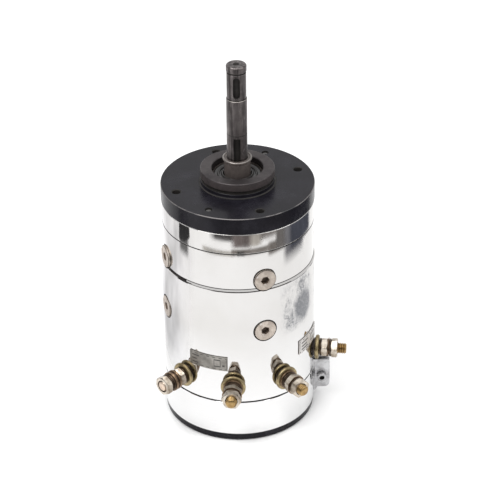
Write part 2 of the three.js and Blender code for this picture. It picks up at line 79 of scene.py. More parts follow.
SHELL_RADIUS = radius_of("yoke_tube")
UPPER_RADIUS = radius_of("drive_end_ring")
BORE_RADIUS = 67.5
SPIGOT_RADIUS = 67.2
BAND_SEAT_RADIUS = 74.6
CAP_RADIUS = radius_of("rear_end_cap")
CAP_TOP = 7.9
BAND_TOP = high("brush_cover_band").z
STEP_BOTTOM = 175.1
STEP_TOP = 178.5
YOKE_BOTTOM = low("yoke_tube").z
YOKE_TOP = high("yoke_tube").z
FLANGE_RADIUS = radius_of("drive_end_flange")
FLANGE_BOTTOM = high("drive_end_ring").z + GAP
FLANGE_TOP = 257.0
BOSS_TOP = high("drive_end_flange").z
BOSS_RADIUS = 36.2
RECESS_RADIUS = 25.0
GROOVE_BOTTOM, GROOVE_TOP, GROOVE_RADIUS = 261.0, 264.5, 33.8
BEARING_TOP = high("drive_bearing_outer_race").z

SCREW_HEIGHTS = {"lower": 129.5, "upper": 187.0}
SCREW_HEAD_RADIUS = 11.2
SCREW_TOP = 76.45
BOLT_CIRCLE = 62.6
TIE_ROD_PLACES = [(low(n) + high(n)) / 2 for n in ("tie_rod_1", "tie_rod_2")]

TERMINAL_HEIGHT = (low("terminal_b_stud").z + high("terminal_b_stud").z) / 2
STUD_RADIUS = 5.5
STUD_END = 109.0
NUT_FLATS = 17.5
NUT_THICKNESS = 6.3
NUT_STARTS = {"a": (84.0, 102.4), "b": (88.3, 97.6), "c": (88.3, 97.6), "d": (84.0, 93.9)}
NUT_TURNS = {"a": (10, 0), "b": (-12, 25), "c": (8, -16), "d": (0, 12)}  # degrees

CLAMP_AZIMUTH = math.radians(1.5)
CLAMP_RADIUS, CLAMP_HEIGHT = 84.0, 27.0
EAR_END = 92.3
EAR_HALF_GAP = 2.5
EAR_THICKNESS = 1.2

SHAFT_TOP = high("shaft").z
SHAFT_RADIUS = 10.0
SHAFT_END_RADIUS = 9.4
SHAFT_RIM_RADIUS = 9.8
SHAFT_SHOULDER = 346.8
KEYWAY_WIDTH = 6.4
KEYWAY_FLOOR = 6.2
UPPER_KEYWAY = (352.7, 368.3)  # centres of its round ends
LOWER_KEYWAY = (278, 307)  # its square ends
COLLAR_TOP = high("shaft_collar").z

SLOTS = 25
CORE_RADIUS = 45.8
COMMUTATOR_BARS = 50
COMMUTATOR_RADIUS = 26
BRUSH_START, BRUSH_END = 26.4, 50
BEARING_RADII = {"rear": (8.8, 20.0), "drive": (12.8, 25.9)}  # bore and outside

ROOM_RADIUS = 1400
ROUND = 192  # sides of the largest turned pieces
FINE = 96
SMALL = 48


# ------------------------------------------------------------------ node helpers
def add_node(tree, kind, inputs=None, **settings):
    """A shader node; an input given as a socket is linked, and anything else is set."""
    node = tree.nodes.new(kind)
    for name, value in settings.items():
        setattr(node, name, value)
    for name, value in (inputs or {}).items():
        socket = node.inputs[name]
        if isinstance(value, bpy.types.NodeSocket):
            tree.links.new(value, socket)
        else:
            socket.default_value = value
    return node


class Shader:
    """A material with a Principled surface and short calls for its procedural layers."""

    def __init__(self, name, metallic=0.0, coat=0.0, coat_roughness=0.1, specular=0.5):
        self.material = bpy.data.materials.new(name)
        self.material.use_nodes = True
        self.tree = self.material.node_tree
        self.surface = self.tree.nodes["Principled BSDF"]
        self.surface.inputs["Metallic"].default_value = metallic
        self.surface.inputs["Coat Weight"].default_value = coat
        self.surface.inputs["Coat Roughness"].default_value = coat_roughness
        self.surface.inputs["Specular IOR Level"].default_value = specular
        self.place = self.add("ShaderNodeTexCoord").outputs["Object"]

    def add(self, kind, inputs=None, **settings):
        return add_node(self.tree, kind, inputs, **settings)

    def link(self, socket, name):
        self.tree.links.new(socket, self.surface.inputs[name])

    def stretched(self, scale):
        return self.add("ShaderNodeMapping", {"Vector": self.place, "Scale": scale}).outputs["Vector"]

    def noise(self, scale, stretch=(1, 1, 1), detail=4.0, roughness=0.55, distortion=0.0):
        inputs = {
            "Vector": self.stretched(stretch),
            "Scale": scale,
            "Detail": detail,
            "Roughness": roughness,
            "Distortion": distortion,
        }
        return self.add("ShaderNodeTexNoise", inputs).outputs["Fac"]

    def remap(self, value, low_in, high_in, low_out, high_out, clamp=True):
        inputs = {
            "Value": value,
            "From Min": low_in,
            "From Max": high_in,
            "To Min": low_out,
            "To Max": high_out,
        }
        return self.add("ShaderNodeMapRange", inputs, clamp=clamp).outputs["Result"]

    def math(self, operation, first, second=0.0):
        node = self.add("ShaderNodeMath", operation=operation)
        for socket, value in zip(node.inputs, (first, second)):
            if isinstance(value, bpy.types.NodeSocket):
                self.tree.links.new(value, socket)
            else:
                socket.default_value = value
        return node.outputs["Value"]

    def mix(self, factor, first, second):
        node = self.add("ShaderNodeMix", data_type="RGBA")
        colour_sockets = (node.inputs[0], node.inputs[6], node.inputs[7])
        for socket, value in zip(colour_sockets, (factor, first, second)):
            if isinstance(value, bpy.types.NodeSocket):
                self.tree.links.new(value, socket)
            elif isinstance(value, (int, float)):
                socket.default_value = value
            else:
                socket.default_value = (*value, 1.0)
        return node.outputs[2]

    def axis(self, name):
        return self.add("ShaderNodeSeparateXYZ", {"Vector": self.place}).outputs[name]

    def radius(self):
        return self.math("SQRT", self.math("ADD", self.squared("X"), self.squared("Y")))

    def squared(self, name):
        value = self.axis(name)
        return self.math("MULTIPLY", value, value)

    def window(self, value, start, end, soft):
        """1 where value lies between start and end, fading to 0 over the distance soft."""
        rise = self.remap(value, start - soft, start, 0.0, 1.0)
        fall = self.remap(value, end, end + soft, 1.0, 0.0)
        return self.math("MULTIPLY", rise, fall)

    def bump(self, height, strength, distance, below=None):
        inputs = {"Height": height, "Strength": strength, "Distance": distance}
        if below is not None:
            inputs["Normal"] = below
        return self.add("ShaderNodeBump", inputs).outputs["Normal"]


# ------------------------------------------------------------------ materials
def polished_steel():
    """Mirror-polished casing: fine hoop marks, faint smears and a scuffed patch on the right."""
    s = Shader("polished_steel", metallic=1.0)
    hoops = s.noise(9.0, stretch=(6, 6, 900), detail=3.0)
    smears = s.noise(14.0, detail=3.0, distortion=0.6)
    ripple = s.noise(22.0, stretch=(1, 1, 0.7), detail=1.0)
    patch = residue_mask(s)
    steel_tone = s.mix(s.remap(smears, 0.3, 0.75, 0.0, 1.0), (0.615, 0.605, 0.598), (0.56, 0.547, 0.53))
    # Painted light: towards its foot the casing is painted a lighter grey, fully below 20 mm and fading out by 130
    # mm, to lift the floor's shade seen in it there.
    steel_tone = s.mix(s.remap(s.axis("Z"), 0.02, 0.13, 1.0, 0.0), steel_tone, (0.8, 0.8, 0.8))
    lined = s.mix(s.remap(hoops, 0.55, 0.8, 0.0, 0.3), steel_tone, (0.45, 0.45, 0.46))
    s.link(s.mix(patch, lined, (0.215, 0.22, 0.232)), "Base Color")
    gloss = s.math("ADD", s.remap(smears, 0.35, 0.8, 0.02, 0.065), s.remap(hoops, 0.5, 0.8, 0.0, 0.04))
    s.link(s.math("ADD", gloss, s.math("MULTIPLY", patch, 0.35)), "Roughness")
    waves = s.bump(ripple, 0.04, 0.002)
    s.link(s.bump(hoops, 0.004, 0.0002, waves), "Normal")
    return s.material


def residue_mask(s):
    """Torn adhesive left by a lost sticker: a dense blot with a ragged, speckled edge, on the right."""
    angle = s.math("ARCTAN2", s.axis("Y"), s.axis("X"))
    height = s.axis("Z")
    ragged = s.noise(120.0, stretch=(1, 1, 0.5), detail=8.0, roughness=0.7, distortion=0.6)
    lumps = s.noise(30.0, stretch=(1, 1, 0.6), detail=2.0)
    specks = s.noise(420.0, detail=3.0, roughness=0.7)
    sideways = s.remap(angle, math.radians(-46), math.radians(-22), -1.0, 1.0, clamp=False)
    upwards = s.remap(height, 0.121, 0.16, -1.0, 1.0, clamp=False)
    away = s.math("ADD", s.math("MULTIPLY", sideways, sideways), s.math("MULTIPLY", upwards, upwards))
    core = s.remap(s.math("ADD", away, s.math("MULTIPLY", ragged, 1.6)), 1.2, 2.0, 1.0, 0.0)
    across = s.window(angle, math.radians(-53), math.radians(-14), 0.1)
    up = s.window(height, 0.124, 0.17, 0.008)
    weighed = s.math("ADD", s.math("MULTIPLY", ragged, 0.6), s.math("MULTIPLY", lumps, 0.5))
    speckled = s.remap(specks, 0.38, 0.58, 0.3, 1.0)
    torn = s.math("MULTIPLY", s.remap(weighed, 0.5, 0.66, 0.0, 1.0), speckled)
    halo = s.math("MULTIPLY", s.math("MULTIPLY", across, up), torn)
    return s.math("MAXIMUM", s.math("MULTIPLY", core, s.remap(specks, 0.3, 0.5, 0.7, 1.0)), halo)


def black_paint():
    """Black enamel over machined iron, with soft orange peel and dust."""
    s = Shader("black_paint", specular=0.15)
    peel = s.noise(420.0, detail=2.0)
    dust = s.noise(38.0, detail=6.0, roughness=0.7)
    patches = s.noise(16.0, detail=3.0, roughness=0.6)
    colour = s.mix(s.remap(dust, 0.45, 0.75, 0.0, 1.0), (0.0075, 0.0069, 0.0095), (0.0165, 0.0155, 0.021))
    s.link(s.mix(s.remap(patches, 0.45, 0.65, 0.0, 0.5), colour, (0.0052, 0.0048, 0.0062)), "Base Color")
    s.link(s.remap(dust, 0.3, 0.8, 0.16, 0.34), "Roughness")
    s.link(s.bump(peel, 0.05, 0.0003), "Normal")
    return s.material


def worn_paint():
    """The flange's corners, where the enamel has rubbed through to steel."""
    s = Shader("worn_paint")
    chips = s.noise(160.0, stretch=(1, 1, 2.5), detail=6.0, roughness=0.65)
    patches = s.noise(24.0, detail=2.0)
    wear = s.math("ADD", s.math("MULTIPLY", chips, 0.5), s.math("MULTIPLY", patches, 0.6))
    bare = s.remap(wear, 0.5, 0.6, 0.0, 1.0)
    s.link(s.mix(bare, (0.014, 0.014, 0.017), (0.15, 0.14, 0.14)), "Base Color")
    s.link(s.math("MULTIPLY", bare, 0.6), "Metallic")
    s.link(s.remap(bare, 0.0, 1.0, 0.4, 0.5), "Roughness")
    s.link(s.bump(chips, 0.2, 0.0004), "Normal")
    return s.material


def turned_steel(name, light, dark, rough, grain=2600.0, stain=30.0, streaks=0.0):
    """Machined steel: lathe rings, stains, small handling marks and, if asked for, streaks along Z."""
    s = Shader(name, metallic=1.0)
    from_axis = s.radius()
    rings = s.add("ShaderNodeTexNoise", {"Scale": 1.0, "Detail": 3.0}, noise_dimensions="1D")
    s.tree.links.new(s.math("MULTIPLY", s.math("ADD", from_axis, s.axis("Z")), grain), rings.inputs["W"])
    stains = s.noise(stain, detail=7.0, roughness=0.68, distortion=0.4)
    marks = s.noise(210.0, stretch=(1, 1, 0.35), detail=5.0, roughness=0.7)
    tone = s.mix(s.remap(stains, 0.32, 0.68, 0.0, 1.0), light, dark)
    tone = s.mix(s.remap(marks, 0.58, 0.74, 0.0, 0.6), tone, tuple(min(1.0, 2.1 * c) for c in light))
    if streaks:
        lines = s.noise(260.0, stretch=(1, 1, 0.06), detail=5.0, roughness=0.7)
        tone = s.mix(s.remap(lines, 0.44, 0.58, 0.0, streaks), tone, tuple(0.4 * c for c in dark))
    s.link(s.mix(s.remap(rings.outputs["Fac"], 0.4, 0.7, 0.0, 0.35), tone, dark), "Base Color")
    s.link(s.remap(stains, 0.3, 0.75, rough, rough + 0.22), "Roughness")
    scratched = s.bump(marks, 0.12, 0.0003)
    s.link(s.bump(rings.outputs["Fac"], 0.1, 0.0002, scratched), "Normal")
    return s.material


def plated(name, light, dark, rough, stain_scale=90.0, grain=150.0):
    """Plated or bare metal with an uneven film, dark pits and brushed lines."""
    s = Shader(name, metallic=1.0)
    film = s.noise(stain_scale, detail=6.0, roughness=0.65, distortion=0.3)
    pits = s.noise(grain * 4, detail=3.0)
    brushing = s.noise(grain * 3, stretch=(1, 1, 7), detail=3.0)
    colour = s.mix(s.remap(film, 0.38, 0.68, 0.0, 1.0), light, dark)
    s.link(s.mix(s.remap(pits, 0.6, 0.75, 0.0, 0.5), colour, tuple(0.4 * c for c in dark)), "Base Color")
    s.link(s.remap(film, 0.3, 0.75, rough, rough + 0.2), "Roughness")
    s.link(s.bump(brushing, 0.08, 0.0003, s.bump(pits, 0.1, 0.0003)), "Normal")
    return s.material


def dull(name, light, dark, rough, scale=120.0, bump=0.15, coat=0.0):
    """A mottled matt surface without the shine of metal: moulded, painted, dirty or oxidised, and also painted
    shade in crevices and on the boss's side.
    """
    s = Shader(name, coat=coat)
    mottle = s.noise(scale, detail=6.0, roughness=0.65)
    grain = s.noise(scale * 9, detail=2.0)
    s.link(s.mix(s.remap(mottle, 0.35, 0.7, 0.0, 1.0), light, dark), "Base Color")
    s.link(s.remap(mottle, 0.3, 0.7, rough, rough + 0.15), "Roughness")
    s.link(s.bump(grain, bump, 0.0003), "Normal")
    return s.material


def layered(name, light, dark, pitch, metallic, rough):
    """Thin sheets or wires stacked along Z, such as laminations and wound copper."""
    s = Shader(name, metallic=metallic)
    wave = s.math("SINE", s.math("MULTIPLY", s.axis("Z"), TAU / (pitch * MM)))
    stains = s.noise(60.0, detail=5.0)
    colour = s.mix(s.remap(wave, -1.0, 0.2, 1.0, 0.0), light, dark)
    s.link(s.mix(s.remap(stains, 0.45, 0.75, 0.0, 0.6), colour, dark), "Base Color")
    s.link(s.remap(stains, 0.3, 0.7, rough, rough + 0.2), "Roughness")
    s.link(s.bump(wave, 0.35, 0.0004), "Normal")
    return s.material


def label_metal(name, light, dark):
    """Bare label sheet, worn, with fine rolling lines."""
    s = Shader(name, metallic=1.0)
    rolling = s.noise(30.0, stretch=(1, 1, 60), detail=3.0)
    wear = s.noise(70.0, detail=7.0, roughness=0.7)
    colour = s.mix(s.remap(wear, 0.35, 0.7, 0.0, 1.0), light, dark)
    bright = tuple(1.25 * c for c in light)
    s.link(s.mix(s.remap(rolling, 0.5, 0.8, 0.0, 0.4), colour, bright), "Base Color")
    s.link(s.remap(wear, 0.3, 0.7, 0.34, 0.55), "Roughness")
    s.link(s.bump(rolling, 0.1, 0.0003), "Normal")
    return s.material


M = {
    "shell": polished_steel(),
    "paint": black_paint(),
    "worn": worn_paint(),
    # Painted shade: a near-black matt colour for seams, grooves, cut holes and sockets, where shade falls between
    # and inside parts; on the shaft's thin worn line it is dirt.
    "shade_and_grime": dull("shade_and_grime", (0.014, 0.011, 0.009), (0.006, 0.005, 0.0045), 0.7),
    # Painted shade: the inside of the pole screws' hex sockets is drawn dull dark brown instead of steel.
    "socket": dull("socket", (0.13, 0.085, 0.055), (0.05, 0.034, 0.024), 0.6),
    "ear": plated("ear_steel", (0.6, 0.6, 0.61), (0.36, 0.355, 0.36), 0.3, stain_scale=120.0),
    "boss": turned_steel("boss_steel", (0.1, 0.09, 0.09), (0.05, 0.044, 0.046), 0.42),
    # Painted shade: a dull dark brown copy of the boss steel for the boss's side, which is shaded.
    "edge": dull("boss_edge", (0.05, 0.039, 0.039), (0.026, 0.021, 0.021), 0.45),
    "shaft": turned_steel("shaft_steel", (0.235, 0.212, 0.209), (0.08, 0.071, 0.07), 0.3, streaks=0.85),
    "collar": dull("collar_steel", (0.1, 0.083, 0.076), (0.058, 0.047, 0.044), 0.4),
    "seal_case": turned_steel("seal_case", (0.13, 0.112, 0.103), (0.06, 0.05, 0.046), 0.36),
    "rod": dull("dull_rod", (0.075, 0.072, 0.07), (0.035, 0.033, 0.032), 0.45),
    # Painted highlight: a lighter copy of the steel for the collar's top rim and the shaft's shoulder chamfer,
    # edges that catch the light.
    "rim": turned_steel("bright_rim_steel", (0.32, 0.295, 0.28), (0.16, 0.145, 0.135), 0.32),
    "screw": turned_steel("screw_steel", (0.68, 0.61, 0.54), (0.42, 0.36, 0.31), 0.42, 1800.0, 110.0),
    "pink": plated("pink_tinned", (0.82, 0.68, 0.56), (0.6, 0.46, 0.35), 0.34),
    "nickel": plated("nickel", (0.66, 0.6, 0.52), (0.24, 0.19, 0.14), 0.26),
    "brass": plated("brass_stud", (0.5, 0.34, 0.15), (0.22, 0.13, 0.05), 0.3),
    "olive": plated("olive_brass", (0.43, 0.35, 0.2), (0.16, 0.12, 0.065), 0.34),
    # Painted shade: a dark brass for the roots of the terminal studs' threads.
    "root_shade": plated("brass_root_shade", (0.13, 0.08, 0.035), (0.05, 0.03, 0.015), 0.4),
    "bronze": plated("bronze_washer", (0.3, 0.21, 0.14), (0.1, 0.065, 0.04), 0.34),
    "lock": plated("dark_washer", (0.12, 0.085, 0.06), (0.035, 0.025, 0.02), 0.38),
    "insulation": dull("insulation", (0.06, 0.035, 0.022), (0.024, 0.016, 0.012), 0.4, coat=0.15),
    "label_left": label_metal("dull_label", (0.33, 0.315, 0.29), (0.17, 0.16, 0.145)),
    "label_right": label_metal("bright_label", (0.68, 0.66, 0.64), (0.48, 0.465, 0.45)),
    "ink": dull("label_ink", (0.035, 0.033, 0.03), (0.07, 0.066, 0.06), 0.45, bump=0.05),
    "rubber": dull("rubber", (0.014, 0.013, 0.013), (0.03, 0.027, 0.026), 0.36, coat=0.3),
    "bearing": plated("bearing_steel", (0.7, 0.71, 0.72), (0.55, 0.55, 0.56), 0.12),
    "iron": turned_steel("pole_iron", (0.2, 0.19, 0.18), (0.1, 0.09, 0.085), 0.45),
    "laminations": layered("laminations", (0.3, 0.29, 0.28), (0.1, 0.095, 0.09), 1.0, 1.0, 0.4),
    "wire": layered("wound_copper", (0.55, 0.2, 0.08), (0.2, 0.06, 0.025), 1.6, 0.6, 0.3),
    "copper": plated("commutator_copper", (0.75, 0.38, 0.22), (0.4, 0.18, 0.1), 0.25),
    "carbon": dull("carbon", (0.028, 0.027, 0.026), (0.06, 0.058, 0.056), 0.5),
    "board": dull("brush_board", (0.11, 0.055, 0.025), (0.06, 0.03, 0.015), 0.5),
    "ball": plated("ball_steel", (0.82, 0.82, 0.83), (0.7, 0.7, 0.71), 0.06),
    "floor": dull("pale_floor", (0.93, 0.93, 0.93), (0.91, 0.91, 0.912), 0.7, scale=3.0, bump=0.02),
}


# ------------------------------------------------------------------ mesh helpers
def polar(radius, angle):
    return (radius * math.cos(angle), radius * math.sin(angle))


def spread(start, end, steps):
    return [start + (end - start) * k / steps for k in range(steps + 1)]


def arc(radius, start, end, steps):
    return [polar(radius, angle) for angle in spread(start, end, steps)]


def strip_faces(steps):
    """The faces of a four-sided strip of sections, with both ends closed."""
    faces = [(0, 3, 2, 1)]
    for i in range(steps):
        for k in range(4):
            n = (k + 1) % 4
            faces.append((i * 4 + k, i * 4 + n, i * 4 + 4 + n, i * 4 + 4 + k))
    last = steps * 4
    return faces + [(last, last + 1, last + 2, last + 3)]


def object_from(name, vertices, faces, materials, face_materials=None, sharp=28.0):
    """A mesh object from millimetre vertices, smooth except at edges sharper than the angle given."""
    mesh = bpy.data.meshes.new(name)
    mesh.from_pydata([Vector(v) * MM for v in vertices], [], faces)
    for key in materials:
        mesh.materials.append(M[key])
    if face_materials:
        mesh.polygons.foreach_set("material_index", face_materials)
    mesh.polygons.foreach_set("use_smooth", [True] * len(mesh.polygons))
    mesh.set_sharp_from_angle(angle=math.radians(sharp))
    mesh.validate()
    piece = bpy.data.objects.new(name, mesh)
    bpy.context.scene.collection.objects.link(piece)
    return piece


def softened(profile, radius, closed):
    """The profile with its corners rounded; a point may carry its own radius and a material number."""
    points = [(p[0], p[1], p[2] if len(p) > 2 else 0, p[3] if len(p) > 3 else radius) for p in profile]
    count = len(points)
    out = []
    for i, (r, z, tag, bend) in enumerate(points):
        at_end = not closed and i in (0, count - 1)
        before = points[i - 1]
        after = points[(i + 1) % count]
        here = Vector((r, z))
        back = Vector(before[:2]) - here
        ahead = Vector(after[:2]) - here
        size = min(bend, 0.4 * back.length, 0.4 * ahead.length)
        if at_end or size < 0.02:
            out.append((r, z, tag))
            continue
        start = here + back.normalized() * size
        end = here + ahead.normalized() * size
        for step in range(4):
            t = step / 3
            point = start * (1 - t) ** 2 + here * 2 * t * (1 - t) + end * t * t
            out.append((point.x, point.y, tag))
    return out


def turned(name, profile, materials, sides=FINE, closed=False, radius=0.25, sharp=28.0):
    """A turned piece about Z. An open profile starts and ends on the axis."""
    points = softened(profile, radius, closed)
    vertices, rings = [], []
    for r, z, _ in points:
        start = len(vertices)
        if r < 1e-6:
            vertices.append((0, 0, z))
            rings.append([start] * sides)
        else:
            vertices += [(*polar(r, TAU * k / sides), z) for k in range(sides)]
            rings.append(list(range(start, start + sides)))
    faces, tags = [], []
    for i in range(len(points) if closed else len(points) - 1):
        lower, upper = rings[i], rings[(i + 1) % len(points)]
        for k in range(sides):
            n = (k + 1) % sides
            corners = [lower[k], lower[n], upper[n], upper[k]]
            face = [c for j, c in enumerate(corners) if c != corners[j - 1]]
            if len(face) > 2:
                faces.append(face)
                tags.append(points[i][2])
    return object_from(name, vertices, faces, materials, tags, sharp)


def box_object(name, x, y, z, materials, edge=0.4):
    """A block with rounded edges between the given (low, high) pairs."""
    vertices = [(a, b, c) for c in z for b in y for a in x]
    faces = [(0, 2, 3, 1), (4, 5, 7, 6), (0, 1, 5, 4), (2, 6, 7, 3), (0, 4, 6, 2), (1, 3, 7, 5)]
    piece = object_from(name, vertices, faces, materials)
    bevel = piece.modifiers.new("rounded_edges", "BEVEL")
    bevel.width = edge * MM
    bevel.segments = 3
    bevel.harden_normals = True
    settle(piece)
    return piece


def prism_object(name, outline, bottom, top, materials, edge=0.0):
    """An outline in the XY plane raised from bottom to top."""
    count = len(outline)
    vertices = [(x, y, bottom) for x, y in outline] + [(x, y, top) for x, y in outline]
    faces = [tuple(reversed(range(count))), tuple(range(count, 2 * count))]
    faces += [(i, (i + 1) % count, count + (i + 1) % count, count + i) for i in range(count)]
    piece = object_from(name, vertices, faces, materials)
    if edge:
        bevel = piece.modifiers.new("rounded_edges", "BEVEL")
        bevel.width = edge * MM
        bevel.segments = 2
        bevel.limit_method = "ANGLE"
        settle(piece)
    return piece


def hexagon(across_flats):
    corner = across_flats / math.sqrt(3)
    return [polar(corner, TAU * i / 6) for i in range(6)]


def settle(piece):
    """Applies the piece's modifiers to its mesh."""
    evaluated = piece.evaluated_get(bpy.context.evaluated_depsgraph_get())
    mesh = bpy.data.meshes.new_from_object(evaluated)
    piece.modifiers.clear()
    old = piece.data
    piece.data = mesh
    bpy.data.meshes.remove(old)


def cut(piece, *tools):
    """Cuts the tools out of the piece; new faces take the piece's last material."""
    joined = tools[0]
    if len(tools) > 1:
        with bpy.context.temp_override(active_object=joined, selected_editable_objects=list(tools)):
            bpy.ops.object.join()
    joined.data.materials.clear()
    for material in piece.data.materials:
        joined.data.materials.append(material)
    last = len(piece.data.materials) - 1
    joined.data.polygons.foreach_set("material_index", [last] * len(joined.data.polygons))
    boolean = piece.modifiers.new("cut", "BOOLEAN")
    boolean.object = joined
    boolean.solver = "EXACT"
    settle(piece)
    bpy.data.objects.remove(joined)


def join_into(piece, *others):
    with bpy.context.temp_override(active_object=piece, selected_editable_objects=[piece, *others]):
        bpy.ops.object.join()


def flip_if_inside_out(piece):
    volume = 0.0
    for polygon in piece.data.polygons:
        volume += polygon.center.dot(polygon.normal) * polygon.area
    if volume < 0:
        piece.data.flip_normals()


def shade_as_turned(piece):
    """Gives every face that belongs to a turned surface the exact normals of that surface."""
    mesh = piece.data
    normals = [None] * len(mesh.loops)
    for polygon in mesh.polygons:
        centre, normal = polygon.center, polygon.normal
        reach = math.hypot(centre.x, centre.y)
        outwards = Vector((centre.x, centre.y, 0)) / max(reach, 1e-9)
        sideways = Vector((-outwards.y, outwards.x, 0))
        is_turned = abs(normal.dot(sideways)) < 0.03 and reach > 1e-3
        for index in polygon.loop_indices:
            spot = mesh.vertices[mesh.loops[index].vertex_index].co
            span = math.hypot(spot.x, spot.y)
            if is_turned and span > 1e-6:
                along = normal.dot(outwards)
                tilt = along / span
                normals[index] = Vector((spot.x * tilt, spot.y * tilt, normal.z)).normalized()
            else:
                normals[index] = normal.copy()
    mesh.polygons.foreach_set("use_smooth", [True] * len(mesh.polygons))
    mesh.normals_split_custom_set(normals)


def outwards(azimuth, height, distance=0.0):
    """The matrix that lays local +Z outwards along an azimuth, with local +X pointing down."""
    turn = Matrix.Rotation(azimuth, 4, "Z") @ Matrix.Rotation(math.pi / 2, 4, "Y")
    place = Matrix.Translation(Vector((0, 0, height)) * MM)
    return place @ turn @ Matrix.Translation(Vector((0, 0, distance)) * MM)


def above(place):
    """The move from the axis to a point's place in plan."""
    return Matrix.Translation(Vector((place.x, place.y, 0)) * MM)


def spot_on_circle(radius, azimuth):
    """The move from the axis to a point at a radius and azimuth."""
    return above(Vector(polar(radius, azimuth)))


def rod(radius, bottom, top, sides=SMALL):
    profile = [(0, bottom), (radius, bottom), (radius, top), (0, top)]
    return turned("tool", profile, ["shade_and_grime"], sides, radius=0)


def moved(piece, matrix):
    piece.data.transform(matrix)
    return piece


def install(piece, body, slot, *nodes, matrix=None):
    """Places a finished piece, ties it to its body and hides the CAD parts it stands for."""
    if matrix is not None:
        piece.matrix_world = matrix
        bpy.context.view_layer.update()
    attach(piece, body)
    if nodes:
        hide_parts(*nodes)
    return piece


# ------------------------------------------------------------------ casing
def casing():
    # Tag 1 paints the seams, the band's seat and the inner corner of the step near-black: painted shade in the
    # crevices where parts meet. The countersinks, windows and terminal holes cut below take the same colour as
    # painted shade.
    shell, shade_and_dirt = 0, 1
    profile = [
        (BORE_RADIUS, YOKE_BOTTOM, shell),
        (BAND_SEAT_RADIUS, YOKE_BOTTOM, shell),
        (BAND_SEAT_RADIUS, BAND_TOP - 1.0, shade_and_dirt, 0),
        (BAND_SEAT_RADIUS, BAND_TOP + 1.2, shade_and_dirt, 0),
        (SHELL_RADIUS - 0.4, BAND_TOP + 1.2, shade_and_dirt, 0),
        (SHELL_RADIUS, BAND_TOP + 1.8, shell, 0),
        (SHELL_RADIUS, STEP_BOTTOM + 1.3, shell, 2.0),
        (UPPER_RADIUS + 0.2, STEP_TOP - 0.3, shade_and_dirt, 0),
        (UPPER_RADIUS - 0.35, STEP_TOP - 0.15, shade_and_dirt, 0),
        (UPPER_RADIUS - 0.35, STEP_TOP + 0.2, shade_and_dirt, 0),
        (UPPER_RADIUS, STEP_TOP + 0.45, shell, 0),
        (UPPER_RADIUS, YOKE_TOP - 0.5, shade_and_dirt, 0),
        (UPPER_RADIUS - 0.4, YOKE_TOP, shade_and_dirt, 0),
        (BORE_RADIUS, YOKE_TOP, shell),
    ]
    piece = turned("casing", profile, ["shell", "shade_and_grime"], ROUND, closed=True)
    tools = []
    for azimuth in POLES:
        for height in SCREW_HEIGHTS.values():
            countersink = [(0, 60), (6.5, 60), (6.5, 69.2), (12.2, 74.1), (12.2, 82), (0, 82)]
            hole = turned("tool", countersink, ["shade_and_grime"], SMALL, radius=0)
            tools.append(moved(hole, outwards(azimuth, height)))
        window = box_object("tool", (60, 80), (-16, 16), (14, 42), ["shade_and_grime"])
        tools.append(moved(window, Matrix.Rotation(azimuth, 4, "Z")))
    for azimuth in TERMINALS.values():
        tools.append(moved(rod(8.6, 60, 80), outwards(azimuth, TERMINAL_HEIGHT)))
    cut(piece, *tools)
    shade_as_turned(piece)
    install(piece, "housing", "polished_steel", "yoke_tube")


def drive_ring():
    bottom = YOKE_TOP + GAP
    top = FLANGE_BOTTOM - GAP
    # Tag 1 paints the ring's bottom and top faces, at its seams, near-black: painted shade between the parts.
    profile = [
        (65.8, 215),
        (SPIGOT_RADIUS, 215),
        (SPIGOT_RADIUS, bottom, 1, 0),
        (UPPER_RADIUS - 0.4, bottom),
        (UPPER_RADIUS, bottom + 0.4, 0, 0.2),
        (UPPER_RADIUS, top - 0.3),
        (UPPER_RADIUS - 0.3, top, 1, 0),
        (BORE_RADIUS, top),
        (BORE_RADIUS, bottom + 4),
        (65.8, bottom + 4),
    ]
    piece = turned("drive_ring", profile, ["shell", "shade_and_grime"], ROUND, closed=True)
    shade_as_turned(piece)
    install(piece, "housing", "polished_steel", "drive_end_ring")


